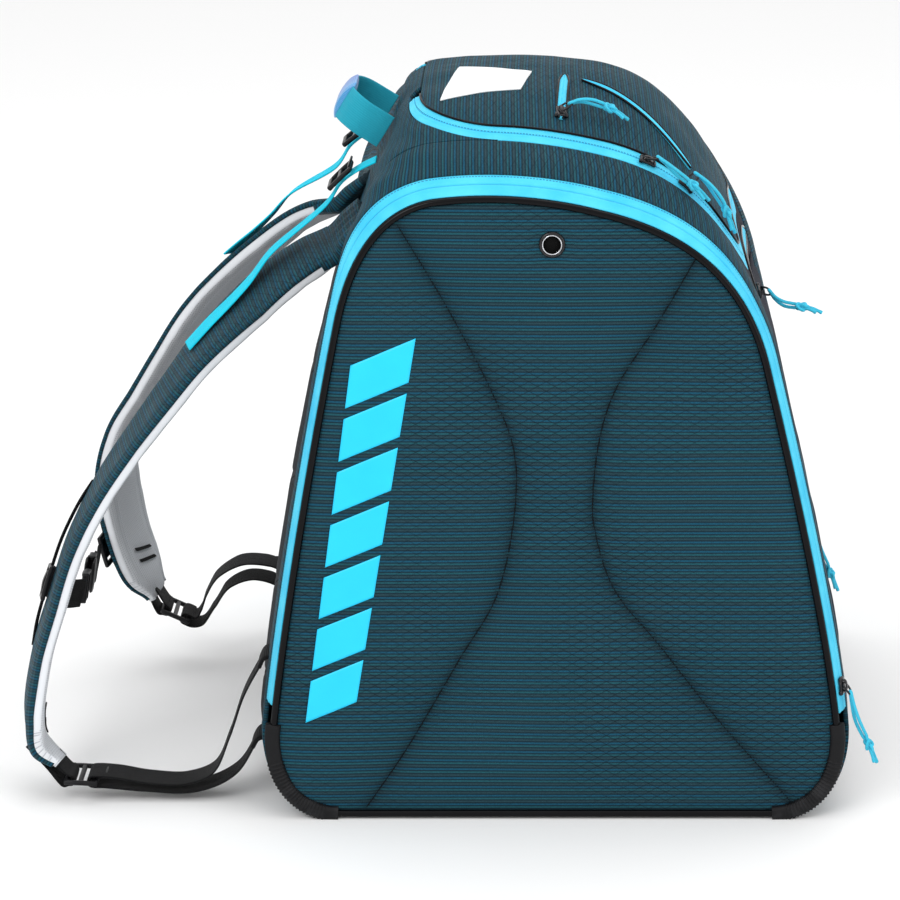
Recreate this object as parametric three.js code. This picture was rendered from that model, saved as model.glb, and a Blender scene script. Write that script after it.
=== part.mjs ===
// Ski boot bag: a boot compartment on each side behind a zipped door, a middle compartment under
// a domed lid, and a padded backpack harness.
// Millimetres, +Z up. The front of the bag is at +X, the wearer's back is at -X, and the wearer's
// left is at -Y. The origin is at the middle of the base, on the floor.
import * as THREE from 'three';

const { lerp, smoothstep } = THREE.MathUtils;

// Shell
const SIDE_AT_FLOOR = 190; // from the middle to each side wall, at the floor
const SIDE_LEAN = 0.056; // each side wall leans in by this much for each millimetre of height
const RIM_DROP = 11; // the shell's rim lies this far inside the side wall
const RIM_ACROSS = 154; // the rim, measured across the shell's pattern
const PANEL = 3; // thickness of the fabric panels with their foam
const BACK_PANEL = 10; // thickness of the padded back
const SIDE_PANEL = 4; // thickness of the side walls and the doors
const BASE_PANEL = 5;
const FOLD_HEIGHT = 76; // the line that each door folds down along
const FOLD_GAP = 4;
const PIPING = 4.5; // width of the piping round each door
const GAP = 0.5; // room between neighbouring pieces

// Lid and its zip, in pattern measures: along the outline and across it
const LID_BACK = 490;
const LID_FRONT = 744;
const LID_HALF = 110;
const LID_BACK_CORNER = 58;
const LID_FRONT_CORNER = 34;
const TAPE = 7; // width of each half of a zip
const TAPE_THICKNESS = 1.6;
const COIL_GAP = 0.6; // between the two halves of a zip
const ZIP = 2 * TAPE + COIL_GAP;

// Harness
const STRAP_WIDTH = 66;
const STRAP_THICKNESS = 12;
const WEBBING = 25;
const LIFTER_WEBBING = 20;
const WEBBING_THICKNESS = 1.6;

// Outlines, from the rear foot over the top to the front foot, as matching curves. The lengths
// are those of the curves along the rim of the shell.
const CURVE_LENGTHS = [85, 302, 60, 52, 116, 172, 270, 85];
const SIDE_OUTLINE = curves([-150, 0], [
  [[-183, 0], [-203, 24], [-202, 62]],
  [[-192, 150], [-170, 272], [-152, 360]],
  [[-147, 382], [-140, 400], [-129, 415]],
  [[-118, 430], [-104, 440], [-85, 444]],
  [[-50, 449], [-8, 447], [30, 437]],
  [[87, 424], [133, 394], [149, 325]],
  [[170, 240], [195, 130], [202, 62]],
  [[203, 24], [183, 0], [150, 0]],
]);
const MIDDLE_OUTLINE = curves([-156, 0], [
  [[-190, 0], [-209, 22], [-209, 58]],
  [[-203, 130], [-180, 270], [-152, 366]],
  [[-141, 402], [-123, 444], [-111, 474]],
  [[-106, 487], [-101, 494], [-88, 497]],
  [[-50, 503], [-10, 503], [25, 500]],
  [[80, 496], [124, 436], [145, 333]],
  [[168, 250], [196, 150], [204, 62]],
  [[205, 22], [186, 0], [154, 0]],
]);

function curves(start, segments) {
  let from = start;
  return segments.map(([first, second, end]) => {
    const corners = [from, first, second, end].map(([x, z]) => new THREE.Vector2(x, z));
    from = end;
    return new THREE.CubicBezierCurve(...corners);
  });
}

/** A point of an outline, at a distance along it. */
function outlinePoint(outline, along) {
  let rest = along;
  let index = 0;
  while (index < outline.length - 1 && rest > CURVE_LENGTHS[index]) {
    rest -= CURVE_LENGTHS[index];
    index += 1;
  }
  return outline[index].getPoint(THREE.MathUtils.clamp(rest / CURVE_LENGTHS[index], 0, 1));
}

const OUTLINE_LENGTH = CURVE_LENGTHS.reduce((sum, length) => sum + length, 0);

/** The distance along the outline at which the side wall reaches a height, behind or in front. */
function alongAtHeight(height, infront, outline = SIDE_OUTLINE) {
  let low = infront ? OUTLINE_LENGTH : 0;
  let high = OUTLINE_LENGTH * 0.45;
  for (let step = 0; step < 30; step += 1) {
    const middle = (low + high) / 2;
    if (outlinePoint(outline, middle).y < height) low = middle;
    else high = middle;
  }
  return low;
}

const sideAt = (height) => SIDE_AT_FLOOR - SIDE_LEAN * height;

/** The outline of the shell's rim: the side outline, let out by the slope of the door's zip. */
function rimPoint(along) {
  const point = outlinePoint(SIDE_OUTLINE, along);
  const ahead = outlinePoint(SIDE_OUTLINE, along + 1).sub(outlinePoint(SIDE_OUTLINE, along - 1));
  ahead.normalize();
  const onSides = lerp(4, 5, smoothstep(point.x, -100, 100));
  const letOut = lerp(onSides, 11, smoothstep(point.y, 360, 440));
  return point.add(new THREE.Vector2(-ahead.y, ahead.x).multiplyScalar(letOut));
}

/** The outer surface of the shell, from pattern measures to a place in the bag. */
function shell(along, across) {
  const rim = rimPoint(along);
  const middle = outlinePoint(MIDDLE_OUTLINE, along);
  const power = lerp(2.6, 1.8, smoothstep(middle.x, -100, 60));
  const mix = 1 - Math.abs(across / RIM_ACROSS) ** power;
  const point = rim.lerp(middle, mix);
  const halfWidth = sideAt(outlinePoint(SIDE_OUTLINE, along).y) - RIM_DROP;
  return new THREE.Vector3(point.x, (across / RIM_ACROSS) * halfWidth, Math.max(point.y, 0));
}

function shellNormal(along, across) {
  const lengthwise = shell(along + 1, across).sub(shell(along - 1, across));
  const sideways = shell(along, across + 1).sub(shell(along, across - 1));
  return lengthwise.cross(sideways).normalize();
}

/** A place at a depth under the shell's surface; a negative depth is above it. */
function underShell(along, across, depth) {
  return shell(along, across).addScaledVector(shellNormal(along, across), -depth);
}

/** A closed sheet of cells. place(u, v, w) gives the point at shares of its three directions. */
function sheet(columns, rows, place, layers = 1) {
  const geometry = new THREE.BoxGeometry(1, 1, 1, columns, rows, layers);
  const corners = geometry.attributes.position;
  for (let index = 0; index < corners.count; index += 1) {
    const shares = [corners.getX(index), corners.getY(index), corners.getZ(index)];
    const point = place(...shares.map((share) => share + 0.5));
    corners.setXYZ(index, point.x, point.y, point.z);
  }
  return outward(geometry);
}

/** Turns a closed geometry inside out where its faces point inwards. */
function outward(geometry) {
  const corners = geometry.attributes.position;
  const index = geometry.index.array;
  const [a, b, c] = [new THREE.Vector3(), new THREE.Vector3(), new THREE.Vector3()];
  let volume = 0;
  for (let face = 0; face < index.length; face += 3) {
    a.fromBufferAttribute(corners, index[face]);
    b.fromBufferAttribute(corners, index[face + 1]);
    c.fromBufferAttribute(corners, index[face + 2]);
    volume += a.dot(b.cross(c));
  }
  if (volume < 0) index.reverse();
  geometry.computeVertexNormals();
  return geometry;
}

const material = (color, roughness = 0.8, metalness = 0) =>
  new THREE.MeshStandardMaterial({ color, roughness, metalness });
const fabric = material(0x27495c, 0.85);
const darkFabric = material(0x161b26, 0.9);
const tape = material(0x35b9e6, 0.7);
const cord = material(0x3cc4ee, 0.7);
const piping = material(0x0c0d0f, 0.35);
const rubber = material(0x141416, 0.75);
const webbing = material(0x121316, 0.8);
const cyanWebbing = material(0x1fc3ef, 0.7);
const plastic = material(0x17181b, 0.45);
const metal = material(0x1b1c1f, 0.35, 0.8);
const pale = material(0xe9edf0, 0.7);

const bag = new THREE.Group();

function piece(group, name, geometry, look) {
  const mesh = new THREE.Mesh(geometry, look);
  mesh.name = name;
  group.add(mesh);
  return mesh;
}

// ---------------------------------------------------------------- shell panels

/** How far the lid's zip reaches along the outline at a distance across it. */
function lidEdge(across, end, direction, corner, edge) {
  const into = Math.max(0, Math.abs(across) - (edge - corner));
  return end + direction * (corner - Math.sqrt(Math.max(0, corner ** 2 - into ** 2)));
}

/** The distance across at a share of a width with round corners, so that they get even steps. */
function roundedAcross(share, edge, corner) {
  const straight = 0.36;
  const out = Math.abs(2 * share - 1);
  const turn = (Math.max(0, out - straight) / (1 - straight)) * (Math.PI / 2);
  const across = (edge - corner) * Math.min(1, out / straight) + corner * Math.sin(turn);
  return Math.sign(share - 0.5) * across;
}

const SEAM = LID_HALF + ZIP; // where the lid's zip meets the body
const BODY_EDGE = SEAM + 3 * GAP;

function backPanel() {
  const foot = 2;
  const corner = LID_BACK_CORNER + ZIP;
  return sheet(18, 13, (u, v, w) => {
    const across = roundedAcross(u, SEAM, corner);
    const hinge = 1 - smoothstep(Math.abs(across), 36, 46);
    const end = lerp(LID_BACK - ZIP - 2 * GAP, LID_BACK - 2 * GAP, hinge);
    const top = lidEdge(across, end, 1, corner, SEAM);
    const along = lerp(foot, top, v);
    const thickness = lerp(BACK_PANEL, 2, smoothstep(along, 340, 430));
    return underShell(along, across, lerp(thickness, 0, w));
  });
}

function frontPanel() {
  const foot = OUTLINE_LENGTH - 2;
  const corner = LID_FRONT_CORNER + ZIP;
  return sheet(16, 10, (u, v, w) => {
    const across = roundedAcross(u, SEAM, corner);
    const top = lidEdge(across, LID_FRONT + ZIP + 3 * GAP, -1, corner, SEAM);
    return underShell(lerp(foot, top, v), across, lerp(PANEL, 0, w));
  });
}

function gusset() {
  return sheet(40, 1, (u, v, w) => {
    const along = lerp(2, OUTLINE_LENGTH - 2, u);
    return underShell(along, -lerp(BODY_EDGE, RIM_ACROSS - GAP, v), lerp(PANEL, 0, w));
  });
}

function basePanel() {
  const halfLength = 148;
  const halfWidth = SIDE_AT_FLOOR - SIDE_PANEL - GAP;
  const geometry = new THREE.BoxGeometry(2 * halfLength, 2 * halfWidth, BASE_PANEL);
  return geometry.translate(0, 0, BASE_PANEL / 2);
}

/** The side outline as points, let in by a distance and cut between two heights. */
function sidePoints(letIn, low, high, steps = 90) {
  const points = [];
  for (let step = 0; step <= steps; step += 1) {
    const along = (OUTLINE_LENGTH * step) / steps;
    const point = outlinePoint(SIDE_OUTLINE, along);
    const next = outlinePoint(SIDE_OUTLINE, Math.min(along + 1, OUTLINE_LENGTH));
    const ahead = next.sub(outlinePoint(SIDE_OUTLINE, Math.max(along - 1, 0))).normalize();
    points.push(point.add(new THREE.Vector2(ahead.y, -ahead.x).multiplyScalar(letIn)));
  }
  return clipped(clipped(points, (point) => point.y - low), (point) => high - point.y);
}

/** The part of a closed outline where inside(point) is above 0. */
function clipped(points, inside) {
  const kept = [];
  points.forEach((point, index) => {
    const next = points[(index + 1) % points.length];
    const [here, there] = [inside(point), inside(next)];
    if (here >= 0) kept.push(point);
    if (here * there < 0) kept.push(point.clone().lerp(next, here / (here - there)));
  });
  return kept;
}

/** Stands an extruded side shape up on the left, its outer face that far outside the wall. */
function standOnSide(geometry, depth, proud = 0) {
  geometry.rotateX(Math.PI / 2);
  geometry.translate(0, depth - SIDE_AT_FLOOR - proud, 0);
  const lean = new THREE.Matrix4().set(1, 0, 0, 0, 0, 1, SIDE_LEAN, 0, 0, 0, 1, 0, 0, 0, 0, 1);
  return geometry.applyMatrix4(lean);
}

function sideShape(points, depth, proud = 0, holes = []) {
  const shape = new THREE.Shape(points);
  shape.holes = holes;
  const settings = { depth, bevelEnabled: false, curveSegments: 6 };
  return standOnSide(new THREE.ExtrudeGeometry(shape, settings), depth, proud);
}

const EYELET = { x: -2, z: 412, hole: 6, flange: 9, thickness: 1.2 };

function bootDoor() {
  const hole = new THREE.Path().absarc(EYELET.x, EYELET.z, EYELET.hole + 1.2, 0, 2 * Math.PI);
  const points = sidePoints(1.5 + PIPING + GAP, FOLD_HEIGHT + FOLD_GAP / 2, 999, 64);
  return sideShape(points, SIDE_PANEL, 0, [hole]);
}

function doorPiping() {
  const low = FOLD_HEIGHT + FOLD_GAP / 2;
  const outer = sidePoints(1.5, low, 999, 64);
  const inner = sidePoints(1.5 + PIPING, low, 999, 64);
  return sideShape([...outer, ...inner.reverse()], SIDE_PANEL + 1.5, 1.5);
}

function sideBase() {
  return sideShape(sidePoints(1.5, -1, FOLD_HEIGHT - FOLD_GAP / 2, 64), SIDE_PANEL);
}

function eyelet() {
  const { hole, flange, thickness } = EYELET;
  const profile = [
    [hole, 0], [flange, 0], [flange, thickness], [hole + 1, thickness + 0.6], [hole, thickness],
  ];
  const barrel = profile.map(([radius, height]) => new THREE.Vector2(radius, height));
  barrel.push(barrel[0].clone());
  const geometry = new THREE.LatheGeometry(barrel, 16);
  geometry.rotateX(Math.PI - Math.atan(SIDE_LEAN));
  geometry.translate(EYELET.x, -sideAt(EYELET.z) - GAP, EYELET.z);
  return geometry;
}

/** The slope between the door's edge and the shell's rim, which the door's zip fills. */
function slope(along, share, depth) {
  const edge = outlinePoint(SIDE_OUTLINE, along);
  const door = new THREE.Vector3(edge.x, -sideAt(edge.y), edge.y);
  const rim = shell(along, -RIM_ACROSS);
  const acrossSlope = rim.clone().sub(door);
  const next = shell(along + 1, -RIM_ACROSS).sub(shell(along - 1, -RIM_ACROSS));
  const normal = next.cross(acrossSlope).normalize();
  return door.lerp(rim, share).addScaledVector(normal, -depth);
}

const DOOR_TAPE_BACK = alongAtHeight(FOLD_HEIGHT + 12, false);
const DOOR_TAPE_FRONT = alongAtHeight(FOLD_HEIGHT + FOLD_GAP, true);

function doorTape(low, high) {
  return sheet(40, 1, (u, v, w) => {
    const along = lerp(DOOR_TAPE_BACK, DOOR_TAPE_FRONT, u);
    return slope(along, lerp(low, high, v), lerp(TAPE_THICKNESS, 0.3, w));
  });
}

const GUARD_END = 30; // short of where the bag rests on the floor
const GUARD_BACK = alongAtHeight(FOLD_HEIGHT - FOLD_GAP, false);
const GUARD_FRONT = alongAtHeight(FOLD_HEIGHT - FOLD_GAP, true);

/** A rubber guard round a lower corner: over the side wall's edge and on to the shell. */
function cornerGuard(start, end) {
  const thickness = 3;
  const reach = 9;
  return sheet(12, 3, (u, v, w) => {
    const along = lerp(start, end, u);
    const rise = GAP + thickness * w;
    if (v < 0.2) return guardOnSide(along, reach, rise);
    if (v < 0.5) return guardOnSide(along, -1 - rise * 0.4, rise);
    if (v < 0.8) return underShell(along, -RIM_ACROSS, -rise);
    return underShell(along, -RIM_ACROSS + reach, -rise);
  });
}

function guardOnSide(along, letIn, rise) {
  const edge = outlinePoint(SIDE_OUTLINE, along);
  const ahead = outlinePoint(SIDE_OUTLINE, Math.min(along + 1, OUTLINE_LENGTH));
  ahead.sub(outlinePoint(SIDE_OUTLINE, Math.max(along - 1, 0))).normalize();
  edge.add(new THREE.Vector2(ahead.y, -ahead.x).multiplyScalar(letIn));
  return new THREE.Vector3(edge.x, -sideAt(edge.y) - rise, Math.max(edge.y, 0));
}

/** The wall between a boot compartment and the middle compartment. */
function divider() {
  const [letIn, top, place, thickness] = [18, 424, 74, 2.5];
  const points = sidePoints(letIn, BASE_PANEL + GAP, top, 64);
  const shape = new THREE.Shape(points);
  const geometry = new THREE.ExtrudeGeometry(shape, { depth: thickness, bevelEnabled: false });
  return geometry.rotateX(Math.PI / 2).translate(0, -place, 0);
}

// ---------------------------------------------------------------- lid

function lidPanel() {
  return sheet(16, 16, (u, v, w) => {
    const middle = (LID_BACK + LID_FRONT) / 2;
    const across = roundedAcross(v, LID_HALF, LID_BACK_CORNER);
    const back = lidEdge(across, LID_BACK, 1, LID_BACK_CORNER, LID_HALF);
    const front = lidEdge(across, LID_FRONT, -1, LID_FRONT_CORNER, LID_HALF);
    const along = u < 0.5 ? lerp(back, middle, 2 * u) : lerp(middle, front, 2 * u - 1);
    return underShell(along, across, lerp(PANEL, 0, w));
  });
}

/** The edge of the lid in the pattern, from one end of the hinge round the front to the other. */
function lidSeam() {
  const seam = new THREE.Path();
  const { PI } = Math;
  const backEdge = LID_HALF - LID_BACK_CORNER;
  const frontEdge = LID_HALF - LID_FRONT_CORNER;
  const [back, front] = [LID_BACK + LID_BACK_CORNER, LID_FRONT - LID_FRONT_CORNER];
  seam.absarc(back, -backEdge, LID_BACK_CORNER, PI * 1.04, PI * 1.5);
  seam.absarc(front, -frontEdge, LID_FRONT_CORNER, PI * 1.5, PI * 2);
  seam.absarc(front, frontEdge, LID_FRONT_CORNER, 0, PI * 0.5);
  seam.absarc(back, backEdge, LID_BACK_CORNER, PI * 0.5, PI * 0.96);
  return seam;
}

function lidTape(inner, outer) {
  const seam = lidSeam();
  return sheet(46, 1, (u, v, w) => {
    const point = seam.getPoint(u);
    const ahead = seam.getTangent(u);
    const out = lerp(inner, outer, v);
    const [along, across] = [point.x + ahead.y * out, point.y - ahead.x * out];
    return underShell(along, across, lerp(TAPE_THICKNESS, 0.3, w));
  });
}

/** A strip laid on the shell along a straight line of the pattern. */
function stripOnShell(from, to, width, low, high, columns) {
  const line = new THREE.LineCurve(new THREE.Vector2(...from), new THREE.Vector2(...to));
  return sheet(columns, 1, (u, v, w) => {
    const point = line.getPoint(u);
    const ahead = line.getTangent(u);
    const out = lerp(-width / 2, width / 2, v);
    return underShell(point.x + ahead.y * out, point.y - ahead.x * out, -lerp(low, high, w));
  });
}

function patchOnShell(corners, low, high, columns = 6, rows = 5) {
  const [a, b, c, d] = corners.map(([along, across]) => new THREE.Vector2(along, across));
  return sheet(columns, rows, (u, v, w) => {
    const point = a.clone().lerp(b, u).lerp(d.clone().lerp(c, u), v);
    return underShell(point.x, point.y, -lerp(low, high, w));
  });
}

// ---------------------------------------------------------------- sliders

const SLIDER = { length: 13, width: 9, height: 3.2 };

function sliderBody() {
  const { length, width, height } = SLIDER;
  const shape = new THREE.Shape();
  shape.moveTo(-length / 2, -width / 3);
  shape.lineTo(-length / 6, -width / 2);
  shape.lineTo(length / 2, -width / 2.4);
  shape.lineTo(length / 2, width / 2.4);
  shape.lineTo(-length / 6, width / 2);
  shape.lineTo(-length / 2, width / 3);
  const settings = {
    depth: height - 1, bevelThickness: 0.5, bevelSize: 0.5, bevelSegments: 1, curveSegments: 3,
  };
  return new THREE.ExtrudeGeometry(shape, settings).translate(0, 0, 0.5);
}

/** Puts a slider on a zip: its length along ahead, its face along up, that far above place. */
function placeSlider(mesh, place, ahead, up, above) {
  const side = up.clone().cross(ahead).normalize();
  const basis = new THREE.Matrix4().makeBasis(side.clone().cross(up), side, up);
  mesh.quaternion.setFromRotationMatrix(basis);
  mesh.position.copy(place).addScaledVector(up, above);
}

function shellSlider(group, name, along, across, angle, above) {
  const mesh = piece(group, name, sliderBody(), metal);
  const [da, dc] = [Math.cos(angle), Math.sin(angle)];
  const ahead = shell(along + da, across + dc).sub(shell(along - da, across - dc)).normalize();
  placeSlider(mesh, shell(along, across), ahead, shellNormal(along, across), above);
  return mesh;
}

// ---------------------------------------------------------------- cords and webbing

function curveThrough(points) {
  return new THREE.CatmullRomCurve3(points.map((point) => new THREE.Vector3(...point)));
}

/** A zip pull: a doubled cord along a route, eight-sided, with its knot as a thick end. */
function pullCord(route) {
  const [radius, knot, knotPlace, knotReach] = [2.5, 4.4, 0.82, 0.13];
  const path = curveThrough(route);
  const frames = path.computeFrenetFrames(200, false);
  return sheet(9, 2, (u, v, w) => {
    const [a, b] = [2 * v - 1, 2 * w - 1];
    const out = Math.max(Math.abs(a), Math.abs(b)) / Math.max(Math.hypot(a, b), 1e-9);
    const inKnot = Math.max(0, 1 - Math.abs(u - knotPlace) / knotReach);
    const size = lerp(radius, knot, smoothstep(inKnot, 0, 0.6)) * out;
    const frame = Math.round(u * 200);
    const point = path.getPointAt(u).addScaledVector(frames.normals[frame], a * size);
    return point.addScaledVector(frames.binormals[frame], b * size);
  }, 2);
}

/** The place and directions at a share of a band's route, with its width turned by an angle. */
function bandFrame(band, share) {
  const tangent = band.path.getTangentAt(share);
  const side = band.across.clone().applyAxisAngle(tangent, band.turn(share));
  side.addScaledVector(tangent, -side.dot(tangent)).normalize();
  const face = side.clone().cross(tangent);
  return { place: band.path.getPointAt(share), tangent, side, face };
}

/** A place beside and above the middle of a band. */
function onBand(band, share, beside, above) {
  const { place, side, face } = bandFrame(band, share);
  return place.addScaledVector(side, beside).addScaledVector(face, above);
}

function makeBand(route, turn = () => 0, across = new THREE.Vector3(0, 1, 0)) {
  return { path: curveThrough(route), turn, across };
}

function bandBody(band, width, thickness, columns, rows = 1, taper = () => 1) {
  return sheet(columns, rows, (u, v, w) => {
    const rounding = rows > 1 ? Math.sqrt(1 - 0.8 * Math.abs(2 * v - 1) ** 6) : 1;
    return onBand(band, u, (v - 0.5) * width * taper(u), (w - 0.5) * thickness * rounding);
  });
}

// ---------------------------------------------------------------- handle

const HANDLE_FOOT = [-117.3, 459.5]; // where the handle is sewn to the back, as X and Z
const HANDLE_RISE = [-0.85, 0.53]; // the way it stands off the back
const HANDLE_REACH = 38.4;
const HANDLE_OUTLINE = [
  [-38, 3.6], [-38, 13], [-36, 25], [-30, 33.5], [-22, 37.8], [-12, HANDLE_REACH], [0, HANDLE_REACH],
  [12, HANDLE_REACH], [22, 37.8], [30, 33.5], [36, 25], [38, 13], [38, 3.6],
];
const HANDLE_ACROSS = new THREE.Vector3(HANDLE_RISE[1], 0, -HANDLE_RISE[0]);
const GRIP = { half: 19, width: 30, height: 9, slotHeight: 4, slotRoom: 0.7 };

function handlePoint([sideways, rise]) {
  const [x, z] = HANDLE_FOOT;
  return [x + HANDLE_RISE[0] * rise, sideways, z + HANDLE_RISE[1] * rise];
}

function grabHandle() {
  const band = makeBand(HANDLE_OUTLINE.map(handlePoint), () => 0, HANDLE_ACROSS);
  return bandBody(band, WEBBING, 2, 22);
}

/** The padded sleeve round the middle of the handle, open at both ends. */
function handleGrip() {
  const { half, width, height, slotHeight, slotRoom } = GRIP;
  const shape = new THREE.Shape();
  shape.moveTo(-width / 2, -height / 4);
  shape.quadraticCurveTo(0, -height * 0.75, width / 2, -height / 4);
  shape.lineTo(width / 2, height / 4);
  shape.quadraticCurveTo(0, height * 0.75, -width / 2, height / 4);
  shape.holes.push(windowPath(0, WEBBING + 2 * slotRoom, slotHeight / 2));
  const settings = { depth: 2 * half, bevelEnabled: false, curveSegments: 6 };
  const geometry = new THREE.ExtrudeGeometry(shape, settings).translate(0, 0, -half);
  const lengthwise = new THREE.Vector3(0, 1, 0);
  const up = lengthwise.clone().cross(HANDLE_ACROSS);
  geometry.applyMatrix4(new THREE.Matrix4().makeBasis(HANDLE_ACROSS, up, lengthwise));
  return geometry.translate(...handlePoint([0, HANDLE_REACH]));
}

// ---------------------------------------------------------------- harness

const LEFT_STRAP = [
  [-156, -60, 386], [-187, -65, 367], [-219, -68, 340], [-249, -74, 311], [-275, -82, 279],
  [-300, -89, 246], [-323, -96, 212], [-342, -105, 175], [-355, -115, 137], [-367, -126, 97],
  [-372, -139, 58], [-368, -145, 38], [-354, -148, 26],
];
const RIGHT_STRAP = [
  [-157, 60, 386], [-186, 64, 375], [-216, 69, 352], [-243, 73, 327], [-268, 77, 299],
  [-289, 81, 267], [-308, 85, 235], [-327, 92, 203], [-337, 99, 167], [-335, 108, 131],
  [-327, 112, 94], [-312, 116, 61],
];
const TILT_SHARES = [0, 0.15, 0.3, 0.45, 0.6, 0.8, 1]; // along a strap
const STRAP_TILTS = { // how far each strap's face turns outwards at those shares, in degrees
  left: [8, 15, 10, 6, 5, 7, 12],
  right: [16, 19, 20, 18, 18, 17, 12],
};

function strapTilt(side, share) {
  const next = Math.max(1, TILT_SHARES.findIndex((value) => value >= share));
  const [low, high] = [TILT_SHARES[next - 1], TILT_SHARES[next]];
  const [from, to] = [STRAP_TILTS[side][next - 1], STRAP_TILTS[side][next]];
  const degrees = lerp(from, to, (share - low) / (high - low));
  return (side === 'left' ? -1 : 1) * degrees * Math.PI / 180;
}

const strapTaper = (share) => lerp(1, 0.55, smoothstep(share, 0.9, 1) ** 2);
const STRAPS = {
  left: makeBand(LEFT_STRAP, (share) => strapTilt('left', share)),
  right: makeBand(RIGHT_STRAP, (share) => strapTilt('right', share)),
};

/** A window through a flat frame: its centre and size lengthwise, and half its width. */
function windowPath(centre, size, half) {
  const hole = new THREE.Path();
  hole.moveTo(centre - size / 2, -half);
  hole.lineTo(centre - size / 2, half);
  hole.lineTo(centre + size / 2, half);
  hole.lineTo(centre + size / 2, -half);
  return hole;
}

/** A flat plastic frame with windows for webbing, its length along X and its face along Z. */
function buckleFrame({ length, width, thickness, windows }) {
  const [corner, border, step] = [2.5, 3, 0.4];
  const shape = roundedBox(length, width, corner);
  windows.forEach(([centre, size], index) => {
    shape.holes.push(windowPath(centre, size, width / 2 - border - step * index));
  });
  const settings = { depth: thickness, bevelEnabled: false, curveSegments: 3 };
  return new THREE.ExtrudeGeometry(shape, settings).translate(0, 0, -thickness / 2);
}

function roundedBox(length, width, radius) {
  const [x, y] = [length / 2 - radius, width / 2 - radius];
  const shape = new THREE.Shape();
  shape.absarc(x, y, radius, 0, Math.PI / 2);
  shape.absarc(-x, y, radius, Math.PI / 2, Math.PI);
  shape.absarc(-x, -y, radius, Math.PI, Math.PI * 1.5);
  shape.absarc(x, -y, radius, Math.PI * 1.5, Math.PI * 2);
  return shape;
}

/** A solid block with rounded corners in plan, its length along X and its face along Z. */
function clipBody({ length, width, thickness }) {
  const [corner, bevel] = [3, 1];
  const shape = roundedBox(length, width, corner);
  const settings = {
    depth: thickness - 2 * bevel, bevelThickness: bevel, bevelSize: bevel, bevelOffset: -bevel,
    bevelSegments: 1, curveSegments: 3,
  };
  return new THREE.ExtrudeGeometry(shape, settings).translate(0, 0, bevel - thickness / 2);
}

/** Lays a mesh at a place with its X along ahead and its Z along face. */
function lay(mesh, place, ahead, face) {
  placeSlider(mesh, place, ahead.clone().normalize(), face.clone().normalize(), 0);
}

// Each adjuster web: from the side of the bag through the strap's ladder lock, and back as a loose
// tail to a keeper on the bag.
const ADJUSTER_ROUTES = {
  left: [
    [-211, -149, 48], [-228, -149, 21], [-256, -149, 8], [-292, -150, 8.5], [-312, -150, 10.5],
    [-322, -150, 11.4], [-328.4, -150, 11.6], [-332.2, -150, 12.6], [-333.5, -150, 16],
    [-332, -150, 19.3], [-328, -150, 19.9], [-312, -150, 18.5], [-290, -150, 14.5],
    [-264, -149, 13.5], [-244, -149, 22], [-232, -149, 48], [-221, -149, 80], [-205.5, -149, 109],
  ],
  right: [
    [-212, 149, 68], [-228, 143, 76], [-248, 133, 79], [-265, 125, 71], [-274, 121, 57],
    [-278.5, 119, 45], [-282, 118, 41], [-287, 118, 43.2], [-290.8, 118, 44.2],
    [-293.4, 118, 41.5], [-293.4, 118, 37.8], [-290.2, 118, 35.6], [-284.5, 118, 33.6],
    [-277, 119, 35], [-268, 122, 47], [-257, 128, 61], [-241, 136, 66], [-224, 143, 61],
    [-212.5, 149, 50],
  ],
};
const LADDER_LOCK = { length: 24, width: 34, thickness: 3.6, windows: [[4.6, 6], [-5.4, 6]] };
const LADDER_LOCK_PLACES = {
  left: { place: [-338, -150, 16.2], ahead: [1, 0, -0.05], up: [0.05, 0, 1] },
  right: { place: [-297.5, 118, 43.5], ahead: [0.9, 0, -0.42], up: [0.42, 0, 0.9] },
};

function addStrap(side) {
  const body = bandBody(STRAPS[side], STRAP_WIDTH, STRAP_THICKNESS, 20, 4, strapTaper);
  piece(bag, `${side}_strap`, body, fabric);
}

function addAdjuster(side) {
  const web = bandBody(makeBand(ADJUSTER_ROUTES[side]), WEBBING, WEBBING_THICKNESS, 48);
  piece(bag, `${side}_adjuster_web`, web, webbing);
  const lock = piece(bag, `${side}_ladder_lock`, buckleFrame(LADDER_LOCK), plastic);
  const { place, ahead, up } = LADDER_LOCK_PLACES[side];
  lay(lock, ...[place, ahead, up].map((values) => new THREE.Vector3(...values)));
}

const LIFTER_BUCKLE = { length: 22, width: 28, thickness: 3.4, windows: [[5.2, 5], [-5.2, 5]] };
const LIFTER_BUCKLE_SHARE = 0.14; // along the lifter's webbing
const LIFTER_TOP = [[-126, 447], [-138, 441], [-150, 432], [-161, 416]]; // as X and Z
const LIFTER_ON_STRAP = { // shares of the strap, with heights above it
  left: [[0.09, 12], [0.14, 6], [0.19, 4], [0.24, 3.5], [0.28, 3.5]],
  right: [[0.07, 12], [0.11, 6], [0.15, 4], [0.19, 3.5], [0.22, 3.5]],
};
const LIFTER_BESIDE = { left: 8, right: 20 }; // from the strap's middle towards the other strap

/** From the top of the back down on to the strap. */
function lifterRoute(side, direction) {
  const top = 60;
  const beside = -direction * LIFTER_BESIDE[side];
  const down = LIFTER_ON_STRAP[side].map(([share, rise]) => {
    return onBand(STRAPS[side], share, beside, STRAP_THICKNESS / 2 + rise).toArray();
  });
  return [...LIFTER_TOP.map(([x, z]) => [x, direction * top, z]), ...down];
}

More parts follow.
